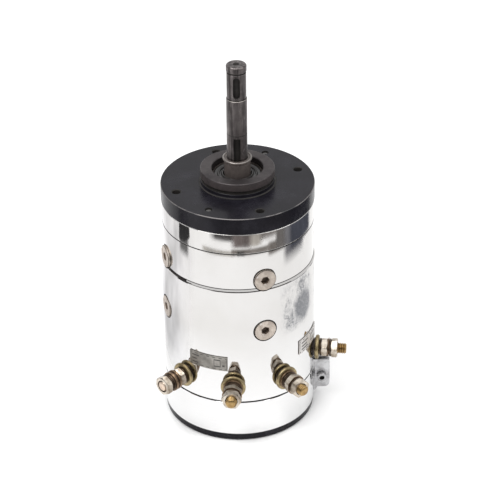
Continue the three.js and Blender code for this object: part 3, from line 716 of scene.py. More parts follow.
def flange():
    paint, worn, boss, edge, shade_and_grime = 0, 1, 2, 3, 4
    seat = 26.2
    # Painted shade: the fillet at the boss's foot and the groove under its rim take the near-black crevice colour,
    # and the boss's side above the groove takes a dull dark brown, darker than its top. The tapped holes and
    # tie-rod holes take the crevice colour as well.
    profile = [
        (seat, FLANGE_BOTTOM),
        (58, FLANGE_BOTTOM),
        (58, 232),
        (SPIGOT_RADIUS, 232),
        (SPIGOT_RADIUS, FLANGE_BOTTOM),
        (FLANGE_RADIUS - 0.6, FLANGE_BOTTOM, worn, 0),
        (FLANGE_RADIUS, FLANGE_BOTTOM + 0.6, paint, 0.3),
        (FLANGE_RADIUS, FLANGE_TOP - 0.75, worn, 0.2),
        (FLANGE_RADIUS - 0.75, FLANGE_TOP, paint, 0.2),
        (BOSS_RADIUS + 1.2, FLANGE_TOP, shade_and_grime, 0.4),
        (BOSS_RADIUS, FLANGE_TOP + 0.6, paint, 0.3),
        (BOSS_RADIUS, GROOVE_BOTTOM - 0.3, paint, 0),
        (BOSS_RADIUS - 0.3, GROOVE_BOTTOM, shade_and_grime, 0),
        (GROOVE_RADIUS, GROOVE_BOTTOM, shade_and_grime),
        (GROOVE_RADIUS, GROOVE_TOP, shade_and_grime),
        (BOSS_RADIUS - 0.3, GROOVE_TOP, edge, 0),
        (BOSS_RADIUS, GROOVE_TOP + 0.3, edge, 0.2),
        (BOSS_RADIUS, BOSS_TOP - 0.7, boss, 0.3),
        (BOSS_RADIUS - 0.7, BOSS_TOP, boss, 0.3),
        (RECESS_RADIUS + 0.8, BOSS_TOP, boss, 0.2),
        (RECESS_RADIUS, BOSS_TOP - 0.8, boss, 0.2),
        (RECESS_RADIUS, BEARING_TOP + GAP, paint),
        (seat, BEARING_TOP + GAP, paint),
    ]
    materials = ["paint", "worn", "boss", "edge", "shade_and_grime"]
    piece = turned("mounting_flange", profile, materials, ROUND, closed=True)
    tools = []
    for azimuth in POLES:
        hole = [(0, 243), (4.1, 243), (4.1, FLANGE_TOP - 0.7)]
        mouth = [(4.9, FLANGE_TOP + 0.1), (4.9, 260), (0, 260)]
        tapped = turned("tool", hole + mouth, ["shade_and_grime"], SMALL, radius=0)
        tools.append(moved(tapped, spot_on_circle(BOLT_CIRCLE, azimuth)))
    for place in TIE_ROD_PLACES:
        tools.append(moved(rod(3.5, 228, 260), above(place)))
    cut(piece, *tools)
    shade_as_turned(piece)
    install(piece, "housing", "black_paint", "drive_end_flange")


def rear_cap():
    outside = [
        (0, 0.35),
        (20, 0.35),
        (21, 0),
        (CAP_RADIUS - 1.5, 0, 0, 0.4),
        (CAP_RADIUS, 1.5, 0, 0.6),
        (CAP_RADIUS, CAP_TOP - 0.4, 1, 0),
        (CAP_RADIUS - 0.4, CAP_TOP, 0, 0),
        (SPIGOT_RADIUS, CAP_TOP),
        (SPIGOT_RADIUS, 13.5),
    ]
    inside = [(57, 13.5), (57, 7, 0, 2), (26, 7, 0, 2)]
    bearing_seat = [(26, 17.2), (20.3, 17.2), (20.3, 4.2), (0, 4.2)]
    profile = outside + inside + bearing_seat
    piece = turned("rear_cap", profile, ["paint", "worn", "shade_and_grime"], ROUND)
    tools = []
    # The counterbores cut for the tie rods take the near-black crevice colour: painted shade in the holes.
    for place in TIE_ROD_PLACES:
        counterbore = [(0, -2), (5.6, -2), (5.6, 4.9), (3.4, 4.9), (3.4, 16), (0, 16)]
        tools.append(moved(turned("tool", counterbore, ["shade_and_grime"], SMALL, radius=0), above(place)))
    cut(piece, *tools)
    shade_as_turned(piece)
    install(piece, "housing", "black_paint", "rear_end_cap")


def tie_rod(number, place):
    bottom, top = low(f"tie_rod_{number}").z, high(f"tie_rod_{number}").z
    head = [(0, bottom), (4.5, bottom), (5, bottom + 0.5), (5, bottom + 4)]
    thread_start = top - 14
    profile = head + [(3, bottom + 4), (3, thread_start)]
    for turn in range(13):
        z = thread_start + turn
        profile += [(3.0, z + 0.1, 0, 0), (2.55, z + 0.5, 0, 0)]
    profile += [(2.9, top - 0.6), (2.4, top), (0, top)]
    piece = turned(f"tie_rod_{number}_detailed", profile, ["rod"], 32)
    slot = box_object("tool", (-8, 8), (-0.7, 0.7), (bottom - 1, bottom + 1.6), ["rod"], edge=0.05)
    cut(piece, slot)
    install(piece, "housing", "screw_steel", f"tie_rod_{number}", matrix=above(place))


# ------------------------------------------------------------------ brush cover band
def band_path():
    """Plan view of the band's middle line, from one ear's tip round the casing to the other's."""
    middle = SHELL_RADIUS - 0.5
    bend = 2.2
    side = EAR_HALF_GAP + EAR_THICKNESS / 2
    start = math.asin((side + bend) / (middle + bend))
    centre = Vector(((middle + bend) * math.cos(start), side + bend))
    leg = [Vector((EAR_END - (EAR_END - centre.x) * k / 12, side)) for k in range(12)]
    elbow = [
        centre + bend * Vector((math.cos(a), math.sin(a)))
        for a in (-math.pi / 2 - (math.pi / 2 - start) * k / 6 for k in range(7))
    ]
    hoop = [
        middle * Vector((math.cos(a), math.sin(a)))
        for a in (start + (TAU - 2 * start) * k / ROUND for k in range(1, ROUND))
    ]
    mirrored = [Vector((p.x, -p.y)) for p in reversed(leg + elbow)]
    return leg + elbow + hoop + mirrored


def cover_band():
    path = band_path()
    corner = 5.0
    bottom, top = CAP_TOP + GAP + 0.1, BAND_TOP - 0.1
    half = (EAR_THICKNESS - 0.2) / 2
    vertices = []
    for i, point in enumerate(path):
        ahead = path[min(i + 1, len(path) - 1)] - path[max(i - 1, 0)]
        across = Vector((ahead.y, -ahead.x)).normalized()
        by_clamp = abs(point.y) < 6
        from_tip = max(0.0, corner - (EAR_END - point.x)) if by_clamp else 0.0
        lift = corner - math.sqrt(max(0.0, corner * corner - from_tip * from_tip))
        past_casing = point.x - SHELL_RADIUS - 1 if by_clamp else 0.0
        foot = bottom + 4.3 * min(1.0, max(0.0, past_casing / 3)) + lift
        head = top - 0.35 * lift
        edge = 0.2
        lower = [(-half, foot + edge), (-half + edge, foot), (half - edge, foot), (half, foot + edge)]
        upper = [(half, head - edge), (half - edge, head), (-half + edge, head), (-half, head - edge)]
        vertices += [(point.x + across.x * s, point.y + across.y * s, z) for s, z in lower + upper]
    size, upper_edge = 8, 5
    faces, tags = [], []
    for i in range(len(path) - 1):
        on_ear = int(path[i].x > SHELL_RADIUS - 0.6 and abs(path[i].y) < 6)
        for k in range(size):
            n = (k + 1) % size
            a, b = i * size, (i + 1) * size
            faces.append((a + k, b + k, b + n, a + n))
            # The band's top face, away from the ears, takes the near-black crevice colour: painted shade in the
            # seam above the band. The clamp bolt's holes take it too.
            tags.append(2 if k == upper_edge and not on_ear else on_ear)
    last = (len(path) - 1) * size
    faces.append(tuple(range(size)))
    faces.append(tuple(reversed(range(last, last + size))))
    piece = object_from("cover_band", vertices, faces, ["shell", "ear", "shade_and_grime"], tags + [1, 1])
    flip_if_inside_out(piece)
    bolt = rod(3.3, -12, 12, 32)
    cut(piece, moved(bolt, across_the_ears()))
    piece.data.set_sharp_from_angle(angle=math.radians(28))
    turn = Matrix.Rotation(CLAMP_AZIMUTH, 4, "Z")
    install(piece, "housing", "polished_steel", "brush_cover_band", matrix=turn)


def across_the_ears():
    """Lays local +Z along +Y through the clamp's bolt holes, with the clamp on the X axis."""
    place = Matrix.Translation(Vector((CLAMP_RADIUS, 0, CLAMP_HEIGHT)) * MM)
    return place @ Matrix.Rotation(-math.pi / 2, 4, "X")


def clamp_fastener():
    place = Matrix.Rotation(CLAMP_AZIMUTH, 4, "Z") @ across_the_ears()
    seat = EAR_HALF_GAP + EAR_THICKNESS + GAP
    head = [(0, -seat - 5), (4.2, -seat - 5, 0, 0.5), (4.9, -seat - 4.2), (4.9, -seat), (2.9, -seat)]
    thread = []
    for k in range(9):
        z = seat - 1.5 + k * 0.9
        thread += [(2.9, z, 0, 0), (2.5, z + 0.45, 0, 0)]
    profile = head + [(2.9, seat - 2)] + thread + [(2.3, seat + 6.6), (0, seat + 6.6)]
    screw = turned("clamp_screw", profile, ["ear", "shade_and_grime"], 40)
    # The cut hex socket takes the near-black crevice colour: painted shade inside it.
    cut(screw, prism_object("tool", hexagon(4.6), -seat - 6, -seat - 2, ["shade_and_grime"]))
    install(screw, "housing", "nickel", "band_clamp_screw", matrix=place)
    nut = hex_nut("clamp_nut", 10, 3.1, 4, ["nickel", "nickel"])
    seated = place @ Matrix.Translation((0, 0, seat * MM))
    install(nut, "housing", "nickel", "band_clamp_nut", matrix=seated)


# ------------------------------------------------------------------ fasteners
def hex_nut(name, across_flats, bore, thickness, materials, sides=96):
    """A nut from 0 to thickness along Z, with turned chamfers on both faces and in the bore."""
    half = across_flats / 2
    face = half * 0.97
    corner = across_flats / math.sqrt(3) * 0.985
    vertices = []
    for k in range(sides):
        angle = TAU * k / sides
        off_corner = abs((angle + TAU / 12) % (TAU / 6) - TAU / 12)
        reach = min(half / math.cos(TAU / 12 - off_corner), corner)
        drop = (reach - face) * math.tan(math.radians(30))
        lower = [(bore, 0.5), (bore + 0.6, 0), (face, 0), (reach, drop)]
        upper = [(r, thickness - z) for r, z in reversed(lower)]
        vertices += [(*polar(r, angle), z) for r, z in lower + upper]
    faces, tags = [], []
    for k in range(sides):
        a, b = k * 8, ((k + 1) % sides) * 8
        for i in range(8):
            n = (i + 1) % 8
            faces.append((a + i, b + i, b + n, a + n))
            # The bore and its chamfers take the second material: on the terminal nuts it is dark, painted shade
            # where the nut meets the stud.
            tags.append(1 if i in (6, 7, 0) else 0)
    piece = object_from(name, vertices, faces, materials, tags, sharp=24)
    flip_if_inside_out(piece)
    return piece


def threaded_stud(name, radius, start, end, pitch, depth, materials, head=None):
    """A screw thread cut as a true helix, ending in a chamfer, on an optional square head."""
    sides, per_turn = 40, 8
    rows = int((end - start) / pitch * per_turn)
    vertices = []
    for z in spread(start, end, rows):
        for k in range(sides):
            phase = (z / pitch - k / sides) % 1.0
            crest = radius - depth * abs(2 * phase - 1)
            crest = min(crest, radius - 1.1 + (end - z))
            vertices.append((*polar(crest, TAU * k / sides), z))
    faces, roots = [], []
    for i in range(rows):
        middle = start + (end - start) * (i + 0.5) / rows
        for k in range(sides):
            n = (k + 1) % sides
            faces.append((i * sides + k, i * sides + n, (i + 1) * sides + n, (i + 1) * sides + k))
            phase = (middle / pitch - (k + 0.5) / sides) % 1.0
            # Faces in the thread's roots take the second material, a dark brass: painted shade in the grooves.
            roots.append(int(abs(phase - 0.5) > 0.3))
    faces.append(tuple(reversed(range(sides))))
    tip = rows * sides
    faces.append(tuple(range(tip, tip + sides)))
    piece = object_from(name, vertices, faces, materials, roots + [0, 0], sharp=50)
    if head:
        across = (-head[0], head[0])
        join_into(piece, box_object("head", across, across, head[1:], materials, 0.6))
    return piece


def pole_screw(number, azimuth, place, height):
    shank = [(0, 57), (5.4, 57), (6.1, 57.7), (6.1, 69.6)]
    # Tag 1 paints the head's outer chamfer near-black: a painted dark reflection and shade round the rim. The cut
    # hex socket takes the socket colour, painted shade inside it.
    head = [
        (SCREW_HEAD_RADIUS, 74.2, 0, 0.3),
        (SCREW_HEAD_RADIUS, SCREW_TOP - 0.35, 1, 0),
        (SCREW_HEAD_RADIUS - 0.55, SCREW_TOP, 0, 0.1),
        (4.9, SCREW_TOP - 0.1),
        (0, SCREW_TOP - 0.1),
    ]
    name = f"pole_screw_{number}_{place}"
    piece = turned(f"{name}_detailed", shank + head, ["screw", "shade_and_grime", "socket"], 72)
    cut(piece, prism_object("tool", hexagon(7.6), SCREW_TOP - 4.5, SCREW_TOP + 1, ["socket"]))
    spin = Matrix.Rotation(random.uniform(0, TAU / 6), 4, "Z")
    install(piece, "housing", "screw_steel", name, matrix=outwards(azimuth, height) @ spin)


# ------------------------------------------------------------------ terminals
def lock_washer(name, inner, outer, bottom, thickness, materials):
    """A split spring washer: a rectangular section swept once round, with its ends sprung apart."""
    steps, lift = 60, thickness * 0.35
    opening = 0.12
    lower = [(inner, 0.15), (inner + 0.15, 0), (outer - 0.2, 0), (outer, 0.2)]
    section = lower + [(r, thickness - z) for r, z in reversed(lower)]
    vertices, faces = [], []
    for i in range(steps + 1):
        t = i / steps
        a = opening / 2 + (TAU - opening) * t
        vertices += [(*polar(r, a), bottom + lift * t + z) for r, z in section]
    for i in range(steps):
        for k in range(8):
            n = (k + 1) % 8
            faces.append((i * 8 + k, i * 8 + 8 + k, i * 8 + 8 + n, i * 8 + n))
    faces.append(tuple(range(8)))
    faces.append(tuple(reversed(range(steps * 8, steps * 8 + 8))))
    piece = object_from(name, vertices, faces, materials)
    flip_if_inside_out(piece)
    return piece


def flat_washer(name, inner, outer, bottom, thickness, materials):
    top = bottom + thickness
    profile = [(inner, bottom), (outer, bottom, 0, 0.35), (outer, top, 0, 0.35), (inner, top)]
    return turned(name, profile, materials, FINE, closed=True, radius=0.2)


def terminal(name, azimuth):
    """A stud with its hardware stacked outwards along local +Z."""
    place = outwards(azimuth, TERMINAL_HEIGHT)
    bore = STUD_RADIUS + GAP
    inner_start, outer_start = NUT_STARTS[name]
    metal = "pink" if name == "a" else "brass"
    stud = threaded_stud(f"stud_{name}", STUD_RADIUS, 62.5, STUD_END, 1.75, 0.85, [metal, "root_shade"],
                         head=(7.5, 58.2, 63.1))
    install(stud, "housing", "brass", f"terminal_{name}_stud", matrix=place)
    sleeve = [(bore, 63.4), (8.2, 63.4), (8.2, 76.3)]
    sleeve += [(9.5, 76.3, 0, 0.3), (9.5, 77.4, 0, 0.3), (bore, 77.4)]
    insulator = turned(f"insulator_{name}", sleeve, ["insulation"], FINE, closed=True)
    install(insulator, "housing", "insulation", f"terminal_{name}_insulator", matrix=place)
    dished = [(bore, 77.7), (11.6, 77.7, 0, 0.5), (12.4, 78.7, 0, 0.8)]
    dished += [(12.4, 80.6, 0, 0.8), (11.2, 81.5, 0, 0.6), (bore, 81.5)]
    wide_washer = turned(f"wide_washer_{name}", dished, ["olive"], FINE, closed=True)
    install(wide_washer, "housing", "brass", f"terminal_{name}_washer", matrix=place)
    fill_gap(name, place, bore, 81.7, inner_start, 1)
    fill_gap(name, place, bore, inner_start + NUT_THICKNESS + 0.3, outer_start, 2)
    starts = (inner_start, outer_start)
    for which, start, turn in zip(("inner", "outer"), starts, NUT_TURNS[name]):
        # The second material darkens each nut's bore chamfers: painted shade where the nut meets the stud.
        nut = hex_nut(f"{which}_nut_{name}", NUT_FLATS, bore - 0.15, NUT_THICKNESS, ["nickel", "lock"])
        lift = Matrix.Translation((0, 0, start * MM)) @ Matrix.Rotation(math.radians(turn), 4, "Z")
        install(nut, "housing", "nickel", f"terminal_{name}_{which}_nut", matrix=place @ lift)


def fill_gap(name, place, bore, start, end, layers):
    """Fills the stud between two pieces with plain washers and ends it with a split lock washer."""
    lock = 2.0
    free = end - start - lock - 0.25
    count = max(layers - 1, round(free / 2.2))
    for k in range(count):
        thick = free / count - 0.15
        reach = 9.9 - 0.9 * (k % 2)
        metal = ("bronze", "lock")[k % 2]
        bottom = start + k * free / count
        washer = flat_washer(f"plain_washer_{name}", bore, reach, bottom, thick, [metal])
        install(washer, "housing", "dark_steel", matrix=place)
    spring = lock_washer(f"lock_washer_{name}", bore, 9.1, end - lock - 0.1, lock * 0.74, ["lock"])
    install(spring, "housing", "dark_steel", matrix=place)


# ------------------------------------------------------------------ label plates
def curved_slab(start, end, bottom, top, inner, outer, steps=48):
    """Vertices and faces of a slab that follows the casing between two azimuths."""
    corners = ((inner, bottom), (outer, bottom), (outer, top), (inner, top))
    vertices = [(*polar(r, a), z) for a in spread(start, end, steps) for r, z in corners]
    return vertices, strip_faces(steps)


def label_plate(side, marks):
    """A small curved plate with plain printed bars and boxes, which say nothing."""
    node = f"label_plate_{side}"
    start, end = label_span(node)
    bottom, top = low(node).z, high(node).z
    inner = SHELL_RADIUS + GAP
    outer = inner + 0.6
    vertices, faces = curved_slab(start, end, bottom, top, inner, outer)
    tags = [0] * len(faces)
    across, up = end - start, top - bottom
    for left, right, foot, head in marks:
        ends = (start + across * left, start + across * right)
        edges = (bottom + up * foot, bottom + up * head)
        more, shapes = curved_slab(*ends, *edges, outer - 0.02, outer + 0.05, 6)
        base = len(vertices)
        vertices += more
        faces += [tuple(base + i for i in shape) for shape in shapes]
        tags += [1] * len(shapes)
    piece = object_from(f"label_{side}", vertices, faces, [f"label_{side}", "ink"], tags)
    install(piece, "housing", "label_metal", node)


def label_span(node):
    """The azimuths of a label plate's two ends."""
    corners = [v.co for v in frame["nodes"][node].data.vertices]
    angles = [math.atan2(c.y, c.x) for c in corners]
    return min(angles), max(angles)


def outline_box(left, right, foot, head, pen_x, pen_y):
    """The four strokes of a printed frame."""
    return [
        (left, right, foot, foot + pen_y),
        (left, right, head - pen_y, head),
        (left, left + pen_x, foot, head),
        (right - pen_x, right, foot, head),
    ]


def text_lines(left, ends, heights):
    """Plain bars of different lengths, one above another, where lines of print would be."""
    return [(left, end, height, height + 0.09) for end, height in zip(ends, heights)]


# Printed marks as fractions of the plate: left, right, foot, head.
LEFT_MARKS = (
    outline_box(0.03, 0.98, 0.08, 0.93, 0.008, 0.05)
    + text_lines(0.07, (0.27, 0.2, 0.24), (0.7, 0.45, 0.2))
    + outline_box(0.66, 0.83, 0.24, 0.78, 0.014, 0.08)
    + [(0.87, 0.93, 0.3, 0.42)]
)
RIGHT_MARKS = (
    outline_box(0.03, 0.97, 0.08, 0.93, 0.008, 0.05)
    + text_lines(0.1, (0.4, 0.34, 0.38), (0.68, 0.44, 0.22))
    + outline_box(0.55, 0.85, 0.26, 0.76, 0.014, 0.08)
)


# ------------------------------------------------------------------ shaft
def shaft():
    # Tag 2 paints the thin worn line at 309.5 mm, the shoulder's step and undercut, the ring groove and the centre
    # hole near-black: dirt on the worn line, painted shade in the grooves and hole; the cut keyways take it too as
    # painted shade. Tag 1 gives the shoulder's chamfer the lighter rim steel, a painted highlight.
    steel, rim, shade_and_dirt = 0, 1, 2
    journals = [(0, 5.5), (8.5, 5.5), (8.5, 16.9), (11, 16.9), (11, 98), (14, 98), (14, 206)]
    journals += [(12.5, 206), (12.5, 259.2), (SHAFT_RADIUS, 259.2)]
    straight = [
        (SHAFT_RADIUS, 309.5, shade_and_dirt, 0),
        (SHAFT_RADIUS - 0.2, 309.7, shade_and_dirt, 0),
        (SHAFT_RADIUS, 310.1, steel, 0),
        (SHAFT_RADIUS, SHAFT_SHOULDER - 0.35, rim, 0),
        (SHAFT_RADIUS - 0.35, SHAFT_SHOULDER, shade_and_dirt, 0),
        (SHAFT_END_RADIUS - 0.2, SHAFT_SHOULDER + 0.1, shade_and_dirt, 0),
        (SHAFT_END_RADIUS - 0.2, SHAFT_SHOULDER + 1.0),
        (SHAFT_END_RADIUS, SHAFT_SHOULDER + 1.2),
    ]
    ring_groove = [
        (SHAFT_END_RADIUS, 373.6, steel, 0.1),
        (SHAFT_END_RADIUS - 0.2, 373.9, shade_and_dirt, 0),
        (SHAFT_END_RADIUS - 0.7, 373.9, shade_and_dirt, 0),
        (SHAFT_END_RADIUS - 0.7, 375.5, shade_and_dirt, 0),
    ]
    tip = [
        (SHAFT_RIM_RADIUS - 0.2, 375.5, steel, 0.1),
        (SHAFT_RIM_RADIUS, 375.9, steel, 0.3),
        (SHAFT_RIM_RADIUS, SHAFT_TOP - 1.0, steel, 0.4),
        (SHAFT_RIM_RADIUS - 1.0, SHAFT_TOP, steel, 0.4),
    ]
    centre_hole = [
        (2.9, SHAFT_TOP, shade_and_dirt, 0.1),
        (2.5, SHAFT_TOP - 0.6, shade_and_dirt, 0),
        (0.9, SHAFT_TOP - 3.4, shade_and_dirt, 0),
        (0, SHAFT_TOP - 4.4, shade_and_dirt),
    ]
    profile = journals + straight + ring_groove + tip + centre_hole
    piece = turned("keyed_shaft", profile, ["shaft", "rim", "shade_and_grime"], FINE)
    half = KEYWAY_WIDTH / 2
    upper = [(x, UPPER_KEYWAY[0] + y) for x, y in arc(half, math.pi, TAU, 12)]
    upper += [(x, UPPER_KEYWAY[1] + y) for x, y in arc(half, 0, math.pi, 12)]
    foot, head = LOWER_KEYWAY
    lower = [(-half, foot), (half, foot), (half, head), (-half, head)]
    facing_front = Matrix.Rotation(math.pi / 2, 4, "X")
    keyways = [prism_object("tool", line, KEYWAY_FLOOR, 20, ["shade_and_grime"]) for line in (upper, lower)]
    cut(piece, *[moved(keyway, facing_front) for keyway in keyways])
    shade_as_turned(piece)
    install(piece, "armature", "dark_steel", "shaft")


def collar():
    bottom = low("shaft_collar").z
    bore = SHAFT_RADIUS + GAP
    # Tag 1 gives the top rim a lighter steel: a painted highlight along the rim.
    profile = [
        (bore, bottom),
        (12.9, bottom),
        (12.9, COLLAR_TOP - 3.2, 0, 0.6),
        (14.3, COLLAR_TOP - 2.0, 0, 0.4),
        (14.3, COLLAR_TOP - 0.5, 1, 0.2),
        (13.6, COLLAR_TOP, 1, 0.2),
        (12.6, COLLAR_TOP, 0, 0.2),
        (12.2, COLLAR_TOP - 0.7, 0, 0.3),
        (bore, COLLAR_TOP - 0.7, 0, 0),
    ]
    piece = turned("spacer_collar", profile, ["collar", "rim"], FINE, closed=True)
    install(piece, "armature", "dark_steel", "shaft_collar")


def seal():
    bottom, top = low("shaft_seal").z, high("shaft_seal").z
    case = [
        (13.3, bottom),
        (24.7, bottom),
        (24.7, top - 0.3, 1, 0.2),
        (22.9, top, 1, 0.2),
        (22.3, top - 1.8, 0, 0.5),
        (19.6, top - 2.6, 0, 0.5),
    ]
    dust_ridge = [
        (19.0, top - 0.9, 0, 0.4),
        (17.8, top - 0.7, 0, 0.4),
        (17.2, top - 2.6, 0, 0.5),
        (15.6, top - 2.4, 0, 0.5),
    ]
    lip = [
        (15.0, top - 0.4, 0, 0.3),
        (14.1, top - 0.5, 0, 0.3),
        (13.3, top - 2.2, 0, 0.3),
    ]
    profile = case + dust_ridge + lip
    piece = turned("shaft_lip_seal", profile, ["rubber", "seal_case"], FINE, closed=True)
    install(piece, "housing", "rubber", "shaft_seal")


# ------------------------------------------------------------------ inside the casing
def ring_outline(inner, outer, start, end, steps=16):
    """A flat sector of a ring, anticlockwise."""
    return arc(outer, start, end, steps) + arc(inner, end, start, steps)


def pole_outline():
    half, face, tip, back = 18, 46.5, 51.5, 67.2
    wide = math.radians(33)
    neck, root = math.asin(half / tip), math.asin(half / back)
    outside = arc(back, -root, root, 12) + arc(tip, neck, wide, 6)
    return outside + arc(face, wide, -wide, 24) + arc(tip, -wide, -neck, 6)


def pole_shoe(number, azimuth):
    node = f"pole_shoe_{number}"
    ends = (low(node).z, high(node).z)
    piece = prism_object(f"pole_{number}", pole_outline(), *ends, ["iron", "shade_and_grime"], edge=0.6)
    holes = [moved(rod(6.5, 56.4, 72, 32), outwards(0, z)) for z in SCREW_HEIGHTS.values()]
    cut(piece, *holes)
    piece.data.set_sharp_from_angle(angle=math.radians(28))
    install(piece, "housing", "pole_iron", node, matrix=Matrix.Rotation(azimuth, 4, "Z"))


def field_coils():
    """Four coils round the poles, joined by a lead ring; each coil shows its turns as ridges."""
    bottom, top = low("field_winding").z, high("field_winding").z
    pieces = []
    for azimuth in POLES:
        for layer in range(6):
            inner = 52.4 + layer * 2.4
            vertices, faces = rectangular_loop(inner, inner + 2.1, 18.6, 29.3, bottom + 0.2, top - 0.2)
            loop = object_from("coil_turn", vertices, faces, ["wire"])
            flip_if_inside_out(loop)
            pieces.append(moved(loop, Matrix.Rotation(azimuth, 4, "Z")))
    profile = [(52.2, bottom), (57, bottom), (57, bottom + 3.8), (52.2, bottom + 3.8)]
    ring = turned("field_coils", profile, ["wire"], FINE, closed=True, radius=0.8)
    join_into(ring, *pieces)
    install(ring, "housing", "field_copper", "field_winding")


def rectangular_loop(inner, outer, half_inside, half_outside, bottom, top):
    """A flat-wound loop round the X axis, with rounded outside corners."""
    corner = 7.0
    window_bottom, window_top = 102.5, 207.5
    upper, lower = (window_top, top - corner), (window_bottom, bottom + corner)
    inside, outside = [], []
    for turn, (side, heights) in enumerate(((1, upper), (-1, upper), (-1, lower), (1, lower))):
        quarter = math.pi / 2
        for y, z in arc(corner, turn * quarter, (turn + 1) * quarter, 5):
            outside.append((side * (half_outside - corner) + y, heights[1] + z))
            inside.append((side * half_inside, heights[0]))
    vertices = []
    for near, far in zip(inside, outside):
        for x, (y, z) in ((inner, near), (inner, far), (outer, far), (outer, near)):
            reach = math.sqrt(max(x * x - y * y, 1))
            vertices.append((reach, y, z))
    count = len(inside)
    faces = []
    for i in range(count):
        a, b = i * 4, ((i + 1) % count) * 4
        for k in range(4):
            n = (k + 1) % 4
            faces.append((a + k, a + n, b + n, b + k))
    return vertices, faces


def armature_core():
    node = "armature_core"
    bore, floor = 14.3, 30.0
    lip, shoulder, heel = CORE_RADIUS - 1.6, CORE_RADIUS - 2.6, floor + 1
    half_mouth, half_width = 1.3, 2.2
    half_slot = [
        (CORE_RADIUS, math.asin(half_mouth / CORE_RADIUS)),
        (lip, math.asin(half_mouth / lip)),
        (shoulder, math.asin(half_width / shoulder)),
        (heel, math.asin(half_width / heel)),
    ]
    outline = []
    for k in range(SLOTS):
        centre = TAU * k / SLOTS
        outline.append(polar(CORE_RADIUS, centre - TAU / SLOTS / 2))
        outline += [polar(r, centre - a) for r, a in half_slot]
        outline.append(polar(floor, centre))
        outline += [polar(r, centre + a) for r, a in reversed(half_slot)]
    piece = prism_object("laminated_core", outline, low(node).z, high(node).z, ["laminations"])
    cut(piece, rod(bore, low(node).z - 1, high(node).z + 1, 64))
    piece.data.set_sharp_from_angle(angle=math.radians(28))
    install(piece, "armature", "core_iron", node)


def armature_winding():
    """End turns as overlapping slanted hairpins over a bound core, with bars through the slots."""
    node = "armature_winding"
    bottom, top = low(node).z, high(node).z
    core_low, core_high = low("armature_core").z, high("armature_core").z
    parts = []
    for near, far, sign in ((core_low - GAP, bottom, -1), (core_high + GAP, top, 1)):
        outside = [(21, near), (40, near), (40, far - sign * 9), (33, far)]
        profile = outside + [(25, far), (21, far - sign * 4)]
        bed = turned("winding_bed", profile[::sign], ["wire"], FINE, closed=True, radius=1.5)
        flip_if_inside_out(bed)
        parts.append(bed)
        for k in range(SLOTS):
            parts.append(hairpin(TAU * k / SLOTS, near, far, sign))
    for k in range(SLOTS):
        along = (core_low - 3, core_high + 3)
        strip = box_object("slot_bar", (31, 43.6), (-1.8, 1.8), along, ["wire"], 0.5)
        parts.append(moved(strip, Matrix.Rotation(TAU * k / SLOTS, 4, "Z")))
    whole = parts[0]
    join_into(whole, *parts[1:])
    whole.name = "wound_armature_coils"
    install(whole, "armature", "armature_copper", node)


def hairpin(start, near, far, sign):
    """One coil end: a flat strip that leans round the armature as it leaves the core."""
    steps = 14
    vertices = []
    for i in range(steps + 1):
        t = i / steps
        angle = start + math.radians(38) * t
        z = near + (far - near) * 0.9 * math.sin(t * math.pi / 2)
        centre = 41.2 - 6.5 * t ** 3
        for dr, da in ((-1.6, -0.036), (-1.6, 0.036), (1.3, 0.036), (1.3, -0.036)):
            vertices.append((*polar(centre + dr, angle + da), z))
    piece = object_from("hairpin", vertices, strip_faces(steps), ["wire"])
    if sign < 0:
        piece.data.flip_normals()
    return piece


def commutator():
    node = "commutator"
    bottom, top = low(node).z, high(node).z
    foot, riser_end = 18, 31
    riser_bottom = top - 7
    gap = 0.45 / COMMUTATOR_RADIUS
    step = TAU / COMMUTATOR_BARS
    parts = []
    for k in range(COMMUTATOR_BARS):
        ends = (step * k + gap / 2, step * (k + 1) - gap / 2)
        track = ring_outline(foot, COMMUTATOR_RADIUS, *ends, 3)
        riser = ring_outline(foot, riser_end, *ends, 3)
        parts.append(prism_object("bar", track, bottom, riser_bottom, ["copper"]))
        parts.append(prism_object("riser", riser, riser_bottom, top, ["copper"]))
    profile = [(11.3, bottom), (17.9, bottom), (17.9, top), (11.3, top)]
    hub = turned("commutator_bars", profile, ["copper", "insulation"], FINE, closed=True)
    hub.data.polygons.foreach_set("material_index", [1] * len(hub.data.polygons))
    join_into(hub, *parts)
    install(hub, "armature", "commutator_copper", node)


def brush_gear():
    plate = frame["nodes"]["brush_ring"]
    dress(plate, "board", 0.35)
    for number, azimuth in enumerate(POLES, 1):
        node = f"carbon_brush_{number}"
        turn = Matrix.Rotation(azimuth, 4, "Z")
        block, length = f"brush_{number}_block", (BRUSH_START, BRUSH_END)
        brush = box_object(block, length, (-5, 5), (22, 40), ["carbon", "copper"], edge=0.5)
        outer_end = (BRUSH_END - 0.6, BRUSH_END + 0.6)
        join_into(brush, box_object("brush_cap", outer_end, (-3, 3), (28, 34), ["copper"], edge=0.3))
        install(brush, f"brush_{number}", "carbon", node, matrix=turn)
        spring = brush_spring(f"brush_{number}_spring")
        install(spring, "housing", "brass", matrix=turn)


def brush_spring(name):
    """A clock-type spiral of spring strip beside the brush box."""
    centre = Vector((47.0, 13.6))
    turns, steps = 2.5, 60
    path = []
    for k in range(steps + 1):
        path.append(centre + Vector(polar(1.6 + 0.045 * k, TAU * turns * k / steps)))
    vertices = []
    for i, point in enumerate(path):
        ahead = path[min(i + 1, steps)] - path[max(i - 1, 0)]
        side = Vector((ahead.y, -ahead.x)).normalized() * 0.15
        for s, z in ((-1, 27.5), (1, 27.5), (1, 34.5), (-1, 34.5)):
            vertices.append((point.x + side.x * s, point.y + side.y * s, z))
    piece = object_from(name, vertices, strip_faces(steps), ["olive"])
    flip_if_inside_out(piece)
    return piece


